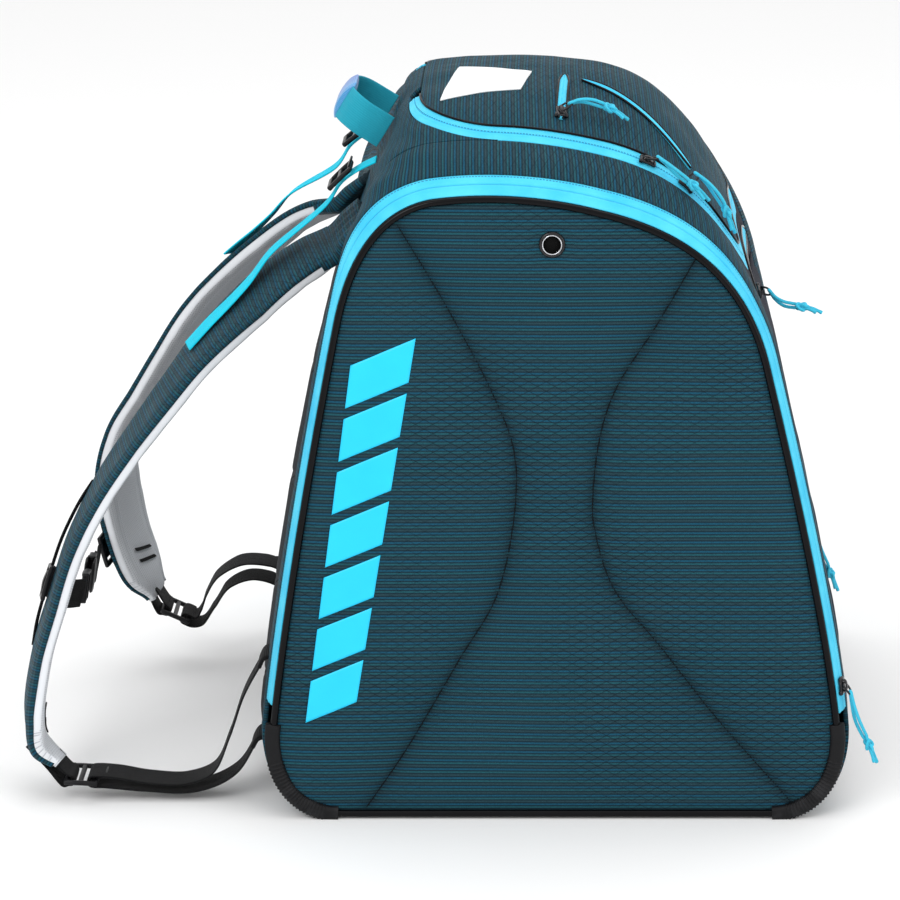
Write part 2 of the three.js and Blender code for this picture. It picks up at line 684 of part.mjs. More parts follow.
function addLifter(side, direction) {
  const turn = (share) => strapTilt(side, 0.25) * smoothstep(share, 0.3, 1);
  const lifter = makeBand(lifterRoute(side, direction), turn);
  const web = bandBody(lifter, LIFTER_WEBBING, WEBBING_THICKNESS, 28);
  piece(bag, `${side}_lifter_web`, web, cyanWebbing);
  const { place, tangent, face } = bandFrame(lifter, LIFTER_BUCKLE_SHARE);
  const buckle = piece(bag, `${side}_lifter_buckle`, buckleFrame(LIFTER_BUCKLE), plastic);
  lay(buckle, place.addScaledVector(face, LIFTER_BUCKLE.thickness), tangent, face);
}

const STERNUM_SHARE = { left: 0.71, right: 0.87 }; // where each slide sits along its strap
const STERNUM_SLIDE = { length: 26, width: 22, thickness: 3.4, windows: [[0, 14]] };
const STERNUM_RISE = STRAP_THICKNESS / 2 + 4.6; // of the slides' middle above the strap's middle
const STERNUM_MIDDLE = [-350, 0, 112];
const STERNUM_WEBBING = 22;
const STERNUM_TONGUE = { length: 22, width: 24, thickness: 7 };
const STERNUM_SOCKET = { length: 24, width: 28, thickness: 9 };

/** From beside a slide to behind its half of the clip, hanging a little. */
function sternumWeb(side, direction) {
  const [beside, end, sag] = [41, 31, 6];
  const from = onBand(STRAPS[side], STERNUM_SHARE[side], -direction * beside, STERNUM_RISE);
  const [x, , z] = STERNUM_MIDDLE;
  const to = new THREE.Vector3(x, direction * end, z);
  const middle = from.clone().lerp(to, 0.5).add(new THREE.Vector3(0, 0, -sag));
  const nearStart = from.clone().lerp(to, 0.12).add(new THREE.Vector3(-1, 0, 0));
  const route = [from, nearStart, middle, to].map((point) => point.toArray());
  const across = new THREE.Vector3(0.15, 0, 1);
  return bandBody(makeBand(route, () => 0, across), STERNUM_WEBBING, WEBBING_THICKNESS, 14);
}

function addSternumSide(side, direction) {
  const share = STERNUM_SHARE[side];
  const { tangent, face } = bandFrame(STRAPS[side], share);
  const slide = piece(bag, `${side}_sternum_slide`, buckleFrame(STERNUM_SLIDE), plastic);
  lay(slide, onBand(STRAPS[side], share, -direction * 22, STERNUM_RISE), tangent, face);
  piece(bag, `${side}_sternum_web`, sternumWeb(side, direction), webbing);
}

function addSternumClip() {
  const apart = 12.5;
  const [line, face] = [new THREE.Vector3(0, 1, 0), new THREE.Vector3(-1, 0, 0.15)];
  const [x, , z] = STERNUM_MIDDLE;
  const tongue = piece(bag, 'sternum_clip_tongue', clipBody(STERNUM_TONGUE), plastic);
  lay(tongue, new THREE.Vector3(x, -apart, z), line, face);
  const socket = piece(bag, 'sternum_clip_socket', clipBody(STERNUM_SOCKET), plastic);
  lay(socket, new THREE.Vector3(x, apart, z), line, face);
}

for (const [side, direction] of [['left', -1], ['right', 1]]) {
  addStrap(side);
  addAdjuster(side);
  addLifter(side, direction);
  addSternumSide(side, direction);
}
addSternumClip();
piece(bag, 'grab_handle', grabHandle(), cyanWebbing);
piece(bag, 'handle_grip', handleGrip(), cyanWebbing);

// ---------------------------------------------------------------- bag

const DOOR_SLIDER = alongAtHeight(96, true);
const DOOR_PULL = [
  [207.5, -183, 91.5], [209.5, -183, 82], [213, -182, 70], [218.5, -181, 58], [223.5, -180, 47],
  [226, -179, 38],
];

/** One side of the bag, built as the left side and mirrored for the right. */
function addSide(side, mirror) {
  const group = new THREE.Group();
  group.scale.y = mirror;
  bag.add(group);
  piece(group, `${side}_gusset`, gusset(), fabric);
  piece(group, `${side}_side_base`, sideBase(), fabric);
  piece(group, `${side}_divider`, divider(), darkFabric);
  piece(group, `${side}_boot_door`, bootDoor(), fabric);
  piece(group, `${side}_door_piping`, doorPiping(), piping);
  piece(group, `${side}_door_tape`, doorTape(0.1, 0.48), tape);
  piece(group, `${side}_frame_tape`, doorTape(0.52, 0.9), tape);
  piece(group, `${side}_eyelet`, eyelet(), metal);
  piece(group, `${side}_back_guard`, cornerGuard(GUARD_BACK, GUARD_END), rubber);
  const frontEnd = OUTLINE_LENGTH - GUARD_END;
  piece(group, `${side}_front_guard`, cornerGuard(GUARD_FRONT, frontEnd), rubber);
  addDoorSlider(group, side);
  piece(bag, `${side}_door_pull`, pullCord(DOOR_PULL.map(([x, y, z]) => [x, y * mirror, z])), cord);
}

function addDoorSlider(group, side) {
  const above = 1.2;
  const slider = piece(group, `${side}_door_slider`, sliderBody(), metal);
  const ahead = slope(DOOR_SLIDER + 1, 0.5, 0).sub(slope(DOOR_SLIDER - 1, 0.5, 0)).normalize();
  const acrossZip = slope(DOOR_SLIDER, 0.6, 0).sub(slope(DOOR_SLIDER, 0.4, 0)).normalize();
  const up = ahead.clone().cross(acrossZip);
  placeSlider(slider, slope(DOOR_SLIDER, 0.5, 0), ahead, up, above);
}

addSide('left', 1);
addSide('right', -1);
piece(bag, 'base_panel', basePanel(), darkFabric);
piece(bag, 'back_panel', backPanel(), darkFabric);
piece(bag, 'front_panel', frontPanel(), darkFabric);
piece(bag, 'lid_panel', lidPanel(), fabric);
piece(bag, 'lid_tape', lidTape(2 * GAP, GAP + TAPE - 0.5), tape);
piece(bag, 'lid_frame_tape', lidTape(GAP + TAPE + 0.1, ZIP - 0.6), tape);

// Pockets, in pattern measures: along the outline and across it
const FRONT_POCKET = [[782, -102], [1062, -108], [1062, 108], [782, 102]];
const FRONT_ZIP = { along: 770, half: 96, slider: -84 };
const LID_PATCH = [[507, -76], [563, -62], [571, -24], [519, -2]];
const LID_POCKET_ZIP = { from: [592, -24], to: [590, -97], slider: [590.3, -90] };
const POCKET_ZIP = { width: 9, low: 0.4, high: 1.8, above: 2.4 }; // a zip laid on the shell
const LID_SLIDERS = { rear: 650, front: 680, across: -(LID_HALF + ZIP / 2 + 0.2), above: 1.2 };

function addPockets() {
  const { width, low, high, above } = POCKET_ZIP;
  const [front, lid] = [FRONT_ZIP, LID_POCKET_ZIP];
  piece(bag, 'front_pocket', patchOnShell(FRONT_POCKET, 2, 5, 8, 8), darkFabric);
  const frontTape = [[front.along, -front.half], [front.along, front.half]];
  piece(bag, 'front_tape', stripOnShell(...frontTape, width, low, high, 12), tape);
  shellSlider(bag, 'front_slider', front.along, front.slider, Math.PI / 2, above);
  piece(bag, 'lid_patch', patchOnShell(LID_PATCH, 0.4, 1.2), pale);
  piece(bag, 'lid_pocket_tape', stripOnShell(lid.from, lid.to, width, low, high, 8), tape);
  shellSlider(bag, 'lid_pocket_slider', ...lid.slider, -Math.PI / 2, above);
}

addPockets();
shellSlider(bag, 'lid_rear_slider', LID_SLIDERS.rear, LID_SLIDERS.across, Math.PI, LID_SLIDERS.above);
shellSlider(bag, 'lid_front_slider', LID_SLIDERS.front, LID_SLIDERS.across, 0, LID_SLIDERS.above);

const PULLS = {
  front_pull: [
    [151.5, -93, 359], [155, -95, 355], [161, -97, 351.5], [168.5, -99, 350.5],
    [176, -101, 350], [182.5, -102, 349],
  ],
  lid_rear_pull: [
    [72, -123, 462], [77, -125.5, 458.5], [83, -127.5, 453.5], [90, -128.5, 448],
    [97, -129, 442.5], [102.5, -129, 437],
  ],
  lid_front_pull: [
    [98, -118, 449.5], [103.5, -118, 445], [109.5, -118, 438], [115, -118, 430],
    [119.5, -118, 421], [123, -118, 411.5],
  ],
  lid_pocket_pull: [
    [11.5, -91, 494], [17, -91, 495.5], [24.5, -91, 495], [32.5, -91, 492.5],
    [40, -91.5, 489.5], [46.5, -92, 485.5],
  ],
};
Object.entries(PULLS).forEach(([name, route]) => piece(bag, name, pullCord(route), cord));

export default bag;
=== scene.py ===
"""The looks of the ski boot bag: its fabric, zips, piping, straps, webbing and cords, in metres."""
import math
from functools import partial

import bmesh
import bpy
import numpy as np
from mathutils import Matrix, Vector


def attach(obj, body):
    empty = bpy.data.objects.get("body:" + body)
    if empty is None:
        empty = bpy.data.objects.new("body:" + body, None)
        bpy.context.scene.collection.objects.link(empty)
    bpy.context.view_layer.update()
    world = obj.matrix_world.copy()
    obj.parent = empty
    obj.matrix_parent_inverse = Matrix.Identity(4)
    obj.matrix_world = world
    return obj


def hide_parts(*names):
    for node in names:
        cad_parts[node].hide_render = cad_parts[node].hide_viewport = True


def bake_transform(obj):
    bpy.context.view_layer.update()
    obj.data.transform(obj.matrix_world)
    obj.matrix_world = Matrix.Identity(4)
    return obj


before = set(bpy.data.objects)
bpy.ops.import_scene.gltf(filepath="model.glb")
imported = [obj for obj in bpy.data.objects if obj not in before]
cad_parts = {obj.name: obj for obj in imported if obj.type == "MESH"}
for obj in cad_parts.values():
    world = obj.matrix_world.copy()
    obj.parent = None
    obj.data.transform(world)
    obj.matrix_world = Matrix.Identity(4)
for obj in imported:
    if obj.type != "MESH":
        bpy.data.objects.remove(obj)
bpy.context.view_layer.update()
MM = 0.001
LEFT, RIGHT = -1, 1
SIDES = (("left", LEFT), ("right", RIGHT))


# ---------------------------------------------------------------- camera, floor and light

def add_camera():
    camera = bpy.data.cameras.new("camera")
    camera.lens = 140.76
    camera.sensor_width = 36
    camera.shift_x = -0.1167
    camera.shift_y = -0.039
    camera.clip_end = 20
    holder = bpy.data.objects.new("camera", camera)
    holder.location = (0, -2.4864, 1.0002)
    holder.rotation_euler = (math.radians(73), 0, 0)
    bpy.context.scene.collection.objects.link(holder)
    bpy.context.scene.camera = holder


def add_light(name, place, target, size, power):
    light = bpy.data.lights.new(name, "AREA")
    light.shape = "RECTANGLE"
    light.size, light.size_y = size
    light.energy = power
    holder = bpy.data.objects.new(name, light)
    holder.location = place
    holder.rotation_euler = (Vector(target) - Vector(place)).to_track_quat("-Z", "Y").to_euler()
    bpy.context.scene.collection.objects.link(holder)


def add_studio():
    """A pale world, a pale floor and three soft lights."""
    world = bpy.data.worlds.new("studio")
    bpy.context.scene.world = world
    world.use_nodes = True
    background = world.node_tree.nodes["Background"]
    background.inputs["Color"].default_value = (1, 1, 1, 1)
    background.inputs["Strength"].default_value = 0.97
    bpy.context.scene.view_settings.view_transform = "Standard"
    middle = (0, 0, 0.25)
    add_light("key", (-1.4, -2.2, 2.2), middle, (1.6, 1.2), 30)
    add_light("fill", (2.2, -1.6, 1.1), middle, (1.4, 1.4), 12)
    add_light("top", (0.2, 0.3, 2.4), middle, (2.0, 2.0), 16)
    half = 6
    corners = [(-half, -half, 0), (half, -half, 0), (half, half, 0), (-half, half, 0)]
    mesh = bpy.data.meshes.new("floor")
    mesh.from_pydata(corners, [], [(0, 1, 2, 3)])
    floor = bpy.data.objects.new("floor", mesh)
    bpy.context.scene.collection.objects.link(floor)
    paint = bpy.data.materials.new("floor")
    paint.use_nodes = True
    shader = paint.node_tree.nodes["Principled BSDF"]
    shader.inputs["Base Color"].default_value = (0.9, 0.9, 0.9, 1)
    shader.inputs["Roughness"].default_value = 0.9
    mesh.materials.append(paint)


# ---------------------------------------------------------------- shape of the shell, as in the part

SIDE_AT_FLOOR = 190
SIDE_LEAN = 0.056
RIM_DROP = 11
RIM_ACROSS = 154
CURVE_LENGTHS = np.array([85, 302, 60, 52, 116, 172, 270, 85], float)
CURVE_ENDS = np.cumsum(CURVE_LENGTHS)
OUTLINE_LENGTH = CURVE_ENDS[-1]
LID_BACK, LID_FRONT, LID_HALF = 490, 744, 110
LID_BACK_CORNER, LID_FRONT_CORNER = 58, 34
TAPE = 7
ZIP = 14.6
SEAM = LID_HALF + ZIP


def curves(start, segments):
    """Outline curves as an array: one row of four corners for each."""
    rows = []
    for first, second, end in segments:
        rows.append([start, first, second, end])
        start = end
    return np.array(rows, float)


SIDE_OUTLINE = curves((-150, 0), [
    [(-183, 0), (-203, 24), (-202, 62)],
    [(-192, 150), (-170, 272), (-152, 360)],
    [(-147, 382), (-140, 400), (-129, 415)],
    [(-118, 430), (-104, 440), (-85, 444)],
    [(-50, 449), (-8, 447), (30, 437)],
    [(87, 424), (133, 394), (149, 325)],
    [(170, 240), (195, 130), (202, 62)],
    [(203, 24), (183, 0), (150, 0)],
])
MIDDLE_OUTLINE = curves((-156, 0), [
    [(-190, 0), (-209, 22), (-209, 58)],
    [(-203, 130), (-180, 270), (-152, 366)],
    [(-141, 402), (-123, 444), (-111, 474)],
    [(-106, 487), (-101, 494), (-88, 497)],
    [(-50, 503), (-10, 503), (25, 500)],
    [(80, 496), (124, 436), (145, 333)],
    [(168, 250), (196, 150), (204, 62)],
    [(205, 22), (186, 0), (154, 0)],
])


def smooth(value, low, high):
    t = np.clip((np.asarray(value, float) - low) / (high - low), 0, 1)
    return t * t * (3 - 2 * t)


def mix(a, b, share):
    return a + (b - a) * share


def unit(vectors):
    return vectors / np.maximum(np.linalg.norm(vectors, axis=-1, keepdims=True), 1e-12)


def outline_point(outline, along):
    """Points of an outline, as X and Z, at distances along it."""
    along = np.clip(np.asarray(along, float), 0, OUTLINE_LENGTH)
    index = np.searchsorted(CURVE_ENDS[:-1], along, side="left")
    t = ((along - (CURVE_ENDS - CURVE_LENGTHS)[index]) / CURVE_LENGTHS[index])[..., None]
    a, b, c, d = (outline[index][..., corner, :] for corner in range(4))
    return (1 - t) ** 3 * a + 3 * (1 - t) ** 2 * t * b + 3 * (1 - t) * t ** 2 * c + t ** 3 * d


def outline_inward(outline, along):
    """The direction from an outline towards its inside."""
    ahead = unit(outline_point(outline, along + 1) - outline_point(outline, along - 1))
    return np.stack([ahead[..., 1], -ahead[..., 0]], -1)


def side_at(height):
    return SIDE_AT_FLOOR - SIDE_LEAN * height


def along_at_height(height, in_front):
    """The distance along the side outline where it reaches a height."""
    low = OUTLINE_LENGTH if in_front else 0.0
    high = OUTLINE_LENGTH * 0.45
    for _ in range(30):
        middle = (low + high) / 2
        if outline_point(SIDE_OUTLINE, middle)[1] < height:
            low = middle
        else:
            high = middle
    return low


def rim_point(along):
    point = outline_point(SIDE_OUTLINE, along)
    on_sides = mix(4, 5, smooth(point[..., 0], -100, 100))
    let_out = mix(on_sides, 11, smooth(point[..., 1], 360, 440))
    return point - outline_inward(SIDE_OUTLINE, along) * let_out[..., None]


def shell(along, across):
    """The outer surface, from pattern measures in millimetres to places in millimetres."""
    along, across = np.broadcast_arrays(np.asarray(along, float), np.asarray(across, float))
    middle = outline_point(MIDDLE_OUTLINE, along)
    power = mix(2.6, 1.8, smooth(middle[..., 0], -100, 60))
    share = 1 - np.abs(across / RIM_ACROSS) ** power
    point = mix(rim_point(along), middle, share[..., None])
    half_width = side_at(outline_point(SIDE_OUTLINE, along)[..., 1]) - RIM_DROP
    y = across / RIM_ACROSS * half_width
    return np.stack([point[..., 0], y, np.maximum(point[..., 1], 0)], -1)


def shell_normal(along, across):
    lengthwise = shell(along + 1.5, across) - shell(along - 1.5, across)
    sideways = shell(along, across + 1) - shell(along, across - 1)
    return unit(np.cross(lengthwise, sideways))


def above_shell(along, across, rise):
    return shell(along, across) + shell_normal(along, across) * np.asarray(rise, float)[..., None]


def slope(along, share, rise):
    """On the slope that the left door's zip fills, from the door's edge to the shell's rim."""
    edge = outline_point(SIDE_OUTLINE, along)
    door = np.stack([edge[..., 0], -side_at(edge[..., 1]), edge[..., 1]], -1)
    rim = shell(along, -RIM_ACROSS)
    ahead = shell(along + 1, -RIM_ACROSS) - shell(along - 1, -RIM_ACROSS)
    normal = unit(np.cross(ahead, rim - door))
    return mix(door, rim, share[..., None]) + normal * np.asarray(rise, float)[..., None]


def lattice_noise(x, z, scale, seed):
    """Smooth random values from about -1 to 1 over a plane, the same on each run."""
    values = np.random.default_rng(seed).uniform(-1, 1, (64, 64))
    gx, gz = x / scale + 20, z / scale + 20
    ix, iz = np.floor(gx).astype(int), np.floor(gz).astype(int)
    fx, fz = smooth(gx - ix, 0, 1), smooth(gz - iz, 0, 1)
    low = mix(values[ix % 64, iz % 64], values[(ix + 1) % 64, iz % 64], fx)
    high = mix(values[ix % 64, (iz + 1) % 64], values[(ix + 1) % 64, (iz + 1) % 64], fx)
    return mix(low, high, fz)


# ---------------------------------------------------------------- meshes

def add_mesh(name, corners, quads, material, uvs=None, caps=()):
    """A smooth mesh. Corners are in metres; caps are faces with more than four corners."""
    corners = np.asarray(corners, float)
    sizes = np.array([4] * len(quads) + [len(cap) for cap in caps])
    loops = np.concatenate([np.asarray(quads, int).ravel()] + [np.asarray(cap, int) for cap in caps])
    mesh = bpy.data.meshes.new(name)
    mesh.vertices.add(len(corners))
    mesh.vertices.foreach_set("co", corners.ravel())
    mesh.loops.add(len(loops))
    mesh.loops.foreach_set("vertex_index", loops)
    mesh.polygons.add(len(sizes))
    mesh.polygons.foreach_set("loop_start", np.cumsum(sizes) - sizes)
    mesh.polygons.foreach_set("loop_total", sizes)
    mesh.polygons.foreach_set("use_smooth", [True] * len(sizes))
    mesh.update(calc_edges=True)
    if uvs is not None:
        layer = mesh.uv_layers.new(name="pattern")
        layer.data.foreach_set("uv", np.asarray(uvs, float)[loops].ravel())
    mesh.materials.append(material)
    piece = bpy.data.objects.new(name, mesh)
    bpy.context.scene.collection.objects.link(piece)
    return piece


def put(piece, body, slot, *nodes):
    """Rides a piece on a body, when one is named, and hides the nodes that it stands for. The slot is not
    used.
    """
    if isinstance(body, str):
        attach(piece, body)
    if nodes:
        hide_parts(*nodes)
    return piece


def grid_faces(rows, columns, first=0, flip=False, wrap=False):
    """Four corner numbers for each cell of a grid, which may close on itself sideways."""
    cells = columns if wrap else columns - 1
    row, column = np.meshgrid(np.arange(rows - 1), np.arange(cells), indexing="ij")
    right = (column + 1) % columns
    here, there = first + row * columns, first + (row + 1) * columns
    faces = np.stack([here + column, here + right, there + right, there + column], -1).reshape(-1, 4)
    return faces[:, ::-1] if flip else faces


def points_out(corners, quads):
    """Whether the faces of a closed mesh point out of it."""
    a, b, c, d = (corners[quads[:, k]] - corners.mean(0) for k in range(4))
    return np.sum(a * (np.cross(b, c) + np.cross(c, d))) > 0


def slab(name, outer, inner, uv, material):
    """A closed sheet between two grids of places in millimetres, outer[row, column]."""
    rows, columns = outer.shape[:2]
    count = rows * columns
    number = np.arange(count).reshape(rows, columns)
    rim = np.concatenate([number[0], number[1:, -1], number[-1, -2::-1], number[-2:0:-1, 0]])
    after = np.roll(rim, -1)
    quads = np.concatenate([
        grid_faces(rows, columns),
        grid_faces(rows, columns, count, flip=True),
        np.stack([after, rim, rim + count, after + count], -1),
    ])
    corners = np.concatenate([outer.reshape(-1, 3), inner.reshape(-1, 3)]) * MM
    if not points_out(corners, quads):
        quads = quads[:, ::-1]
    pattern = np.concatenate([uv.reshape(-1, 2)] * 2) * MM
    return add_mesh(name, corners, quads, material, pattern)


def mirrored(places, side):
    """Places on the left, or their mirror image on the right."""
    return places * np.array([1, 1 if side == LEFT else -1, 1])


def shell_slab(name, along, across, rise, thickness, material):
    """A sheet on the shell: arrays of pattern places, how far it stands off, and its thickness."""
    base, normal = shell(along, across), shell_normal(along, across)
    rise, thickness = (np.broadcast_to(np.asarray(v, float), along.shape) for v in (rise, thickness))
    outer = base + normal * rise[..., None]
    inner = base + normal * (rise - thickness)[..., None]
    for layer in (outer, inner):
        layer[..., 2] = np.maximum(layer[..., 2], 0)
    return slab(name, outer, inner, np.stack([across, along], -1), material)


def resample(points, count):
    """Places at even steps along a line of points."""
    points = np.asarray(points, float)
    steps = np.concatenate([[0], np.cumsum(np.linalg.norm(np.diff(points, axis=0), axis=1))])
    wanted = np.linspace(0, steps[-1], count)
    return np.stack([np.interp(wanted, steps, points[:, k]) for k in range(points.shape[1])], -1)


def spline(points, count):
    """A smooth curve through points, at even steps, by centripetal Catmull-Rom pieces."""
    points = np.asarray(points, float)
    first, last = 2 * points[0] - points[1], 2 * points[-1] - points[-2]
    points = np.concatenate([[first], points, [last]])
    dense = []
    for index in range(1, len(points) - 2):
        p = points[index - 1:index + 3]
        gaps = np.maximum(np.linalg.norm(np.diff(p, axis=0), axis=1) ** 0.5, 1e-6)
        t = np.concatenate([[0], np.cumsum(gaps)])
        for s in np.linspace(t[1], t[2], 24, endpoint=False):
            a = [mix(p[k], p[k + 1], (s - t[k]) / (t[k + 1] - t[k])) for k in range(3)]
            b = [mix(a[k], a[k + 1], (s - t[k]) / (t[k + 2] - t[k])) for k in range(2)]
            dense.append(mix(b[0], b[1], (s - t[1]) / (t[2] - t[1])))
    dense.append(points[-2])
    return resample(dense, count)


def tangents(path):
    ahead = np.empty_like(path)
    ahead[1:-1] = path[2:] - path[:-2]
    ahead[0], ahead[-1] = path[1] - path[0], path[-1] - path[-2]
    return unit(ahead)


def carried_frames(path, start):
    """A side and a face direction at each place of a path, carried along it without twist."""
    ahead = tangents(path)
    side = np.empty_like(path)
    current = np.asarray(start, float)
    for index, tangent in enumerate(ahead):
        current = current - tangent * np.dot(current, tangent)
        current = current / np.linalg.norm(current)
        side[index] = current
    return ahead, side, np.cross(side, ahead)


def ring_body(name, rings, material, pattern, closed=False):
    """A closed body from rings of places in millimetres; pattern gives one pair for each place."""
    count, around = rings.shape[:2]
    corners = rings.reshape(-1, 3) * MM
    quads = grid_faces(count + 1 if closed else count, around, wrap=True) % (count * around)
    caps = [] if closed else [np.arange(around)[::-1], (count - 1) * around + np.arange(around)]
    if not points_out(corners, quads):
        quads = quads[:, ::-1]
        caps = [cap[::-1] for cap in caps]
    return add_mesh(name, corners, quads, material, pattern.reshape(-1, 2) * MM, caps)


def tube(name, path, radius, material, around=10, start=(0, 0, 1), closed=False):
    """A round tube along a path; radius is a number or one for each place."""
    path = np.asarray(path, float)
    _, side, face = carried_frames(path, start)
    angles = np.linspace(0, 2 * math.pi, around, endpoint=False)
    radius = np.broadcast_to(np.asarray(radius, float), (len(path),))[:, None, None]
    circle = np.cos(angles)[None, :, None] * side[:, None] + np.sin(angles)[None, :, None] * face[:, None]
    rings = path[:, None] + circle * radius
    steps = np.concatenate([[0], np.cumsum(np.linalg.norm(np.diff(path, axis=0), axis=1))])
    pattern = np.stack(np.broadcast_arrays(angles[None] * radius[:, :, 0], steps[:, None]), -1)
    return ring_body(name, rings, material, pattern, closed)


# ---------------------------------------------------------------- materials

class Paint:
    """A material being built: its nodes are added by short calls that return their output."""

    def __init__(self, name, roughness, **constants):
        self.material = bpy.data.materials.new(name)
        self.material.use_nodes = True
        self.tree = self.material.node_tree
        self.shader = self.tree.nodes["Principled BSDF"]
        self.shader.inputs["Roughness"].default_value = roughness
        for socket, value in constants.items():
            self.shader.inputs[socket.replace("_", " ")].default_value = value

    def node(self, kind, inputs=(), **settings):
        node = self.tree.nodes.new("ShaderNode" + kind)
        for name, value in settings.items():
            setattr(node, name, value)
        for key, value in dict(inputs).items():
            if isinstance(value, bpy.types.NodeSocket):
                self.tree.links.new(value, node.inputs[key])
            else:
                node.inputs[key].default_value = value
        return node

    def math(self, operation, *values):
        node = self.node("Math", enumerate(values), operation=operation)
        return node.outputs[0]

    def pattern(self):
        """The two pattern coordinates, across and along, in metres."""
        source = self.node("UVMap", uv_map="pattern").outputs[0]
        parts = self.node("SeparateXYZ", {0: source})
        return parts.outputs[0], parts.outputs[1]

    def place(self):
        return self.node("TexCoord").outputs["Object"]

    def noise(self, scale, detail=2.0, vector=None, stretch=None):
        vector = vector or self.place()
        if stretch:
            vector = self.node("Mapping", {"Vector": vector, "Scale": stretch}).outputs[0]
        inputs = {"Vector": vector, "Scale": scale, "Detail": detail}
        return self.node("TexNoise", inputs).outputs[0]

    def wave(self, value, period, offset=0.0):
        """From 0 to 1 and back along a coordinate, once in each period."""
        turns = self.math("MULTIPLY_ADD", value, 2 * math.pi / period, offset)
        return self.math("MULTIPLY_ADD", self.math("SINE", turns), 0.5, 0.5)

    def line(self, value, period, width, offset=0.0):
        """1 on thin lines at each period of a coordinate, 0 between them."""
        share = self.math("FRACT", self.math("MULTIPLY_ADD", value, 1 / period, offset + 100))
        away = self.math("ABSOLUTE", self.math("SUBTRACT", share, 0.5))
        return self.math("LESS_THAN", away, width / period / 2)

    def blend(self, factor, first, second):
        node = self.node("Mix", data_type="RGBA")
        for key, value in ((0, factor), (6, first), (7, second)):
            if isinstance(value, bpy.types.NodeSocket):
                self.tree.links.new(value, node.inputs[key])
            else:
                node.inputs[key].default_value = (*value, 1) if key else value
        return node.outputs[2]

    def ramp(self, factor, low, high):
        node = self.node("MapRange", {0: factor, 1: low, 2: high})
        return node.outputs[0]

    def colour(self, socket):
        if isinstance(socket, bpy.types.NodeSocket):
            self.tree.links.new(socket, self.shader.inputs["Base Color"])
        else:
            self.shader.inputs["Base Color"].default_value = (*socket, 1)

    def rough(self, socket):
        self.tree.links.new(socket, self.shader.inputs["Roughness"])

    def bump(self, height, distance, strength=1.0):
        inputs = {"Height": height, "Distance": distance, "Strength": strength}
        before = self.shader.inputs["Normal"]
        if before.is_linked:
            inputs["Normal"] = before.links[0].from_socket
        bump = self.node("Bump", inputs)
        self.tree.links.new(bump.outputs[0], before)


def add_weave(paint, across, along, thread, depth):
    """Plain weave: threads that pass over and under each other."""
    over = paint.wave(across, thread * 2)
    under = paint.wave(along, thread * 2, math.pi / 2)
    paint.bump(paint.math("MULTIPLY", over, under), depth, 0.6)


STRIPES = (
    ((0.014, 0.092, 0.118), 0.22, 0.8),  # teal
    ((0.008, 0.082, 0.142), 0.55, 0.8),  # blue teal
    ((0.02, 0.058, 0.074), 0.89, 0.75),  # slate
)


def striped_fabric(name, period):
    """Ripstop cloth with three fine stripes in each period, and painted shade where it is drawn into a
    seam.
    """
    paint = Paint(name, 0.72, Sheen_Weight=0.02, Sheen_Roughness=0.5, Specular_IOR_Level=0.09)
    across, along = paint.pattern()
    height = paint.math("ADD", along, paint.math("MULTIPLY_ADD", paint.noise(9), 0.0005, -0.00025))
    fleck = paint.ramp(paint.noise(900, 1), 0.3, 0.7)
    worn = paint.ramp(paint.noise(14, 4), 0.3, 0.75)
    cloth = paint.blend(worn, (0.005, 0.018, 0.028), (0.008, 0.024, 0.036))
    for colour, phase, strength in STRIPES:
        line = paint.ramp(paint.wave(height, period, math.pi / 2 - 2 * math.pi * phase), 0.82, 0.98)
        line = paint.math("MULTIPLY", line, paint.math("MULTIPLY_ADD", fleck, 0.3, strength - 0.15))
        cloth = paint.blend(line, cloth, colour)
    lean = 0.55
    for direction in (1, -1):
        slant = paint.math("MULTIPLY_ADD", across, direction * lean, height)
        thread = paint.line(slant, 0.0066, 0.0008)
        patchy = paint.math("MULTIPLY", thread, paint.ramp(paint.noise(7, 2), 0.4, 0.62))
        cloth = paint.blend(paint.math("MULTIPLY", patchy, 0.45), cloth, (0.002, 0.006, 0.01))
        paint.bump(thread, 0.0003, 0.4)
    # Painted shade: the cloth is darkened beside its seams by the seam_shade value on its corners.
    seam = paint.node("Attribute", attribute_name="seam_shade").outputs["Fac"]
    paint.colour(paint.blend(seam, cloth, (0.001, 0.003, 0.005)))
    add_weave(paint, across, along, 0.00055, 0.0004)
    paint.bump(paint.noise(60, 4), 0.0012, 0.3)
    paint.rough(paint.ramp(paint.noise(30, 3), -0.9, 1.3))
    return paint.material


def dark_cloth(name, base, light, thread=0.0006):
    """Plain woven cloth with a faint uneven tint."""
    paint = Paint(name, 0.8, Sheen_Weight=0.03, Specular_IOR_Level=0.12)
    across, along = paint.pattern()
    paint.colour(paint.blend(paint.ramp(paint.noise(25, 4), 0.3, 0.75), base, light))
    add_weave(paint, across, along, thread, 0.0004)
    paint.bump(paint.noise(50, 4), 0.0015, 0.25)
    return paint.material


def spacer_mesh(name, base, hole, cell):
    """Open knitted mesh: rows of small holes, painted dark as shade, in pale or dark yarn."""
    paint = Paint(name, 0.85, Sheen_Weight=0.05, Specular_IOR_Level=0.15)
    across, along = paint.pattern()
    rows = paint.wave(across, cell)
    columns = paint.wave(along, cell * 0.8)
    hollow = paint.ramp(paint.math("MULTIPLY", rows, columns), 0.35, 0.8)
    # Painted shade: the hollows of the knit are painted darker than the yarn.
    cloth = paint.blend(hollow, base, hole)
    tint = paint.ramp(paint.noise(18, 3), 0.3, 0.8)
    paint.colour(paint.blend(paint.math("MULTIPLY", tint, 0.25), cloth, hole))
    paint.bump(paint.math("SUBTRACT", 1.0, hollow), 0.0006, 0.7)
    return paint.material


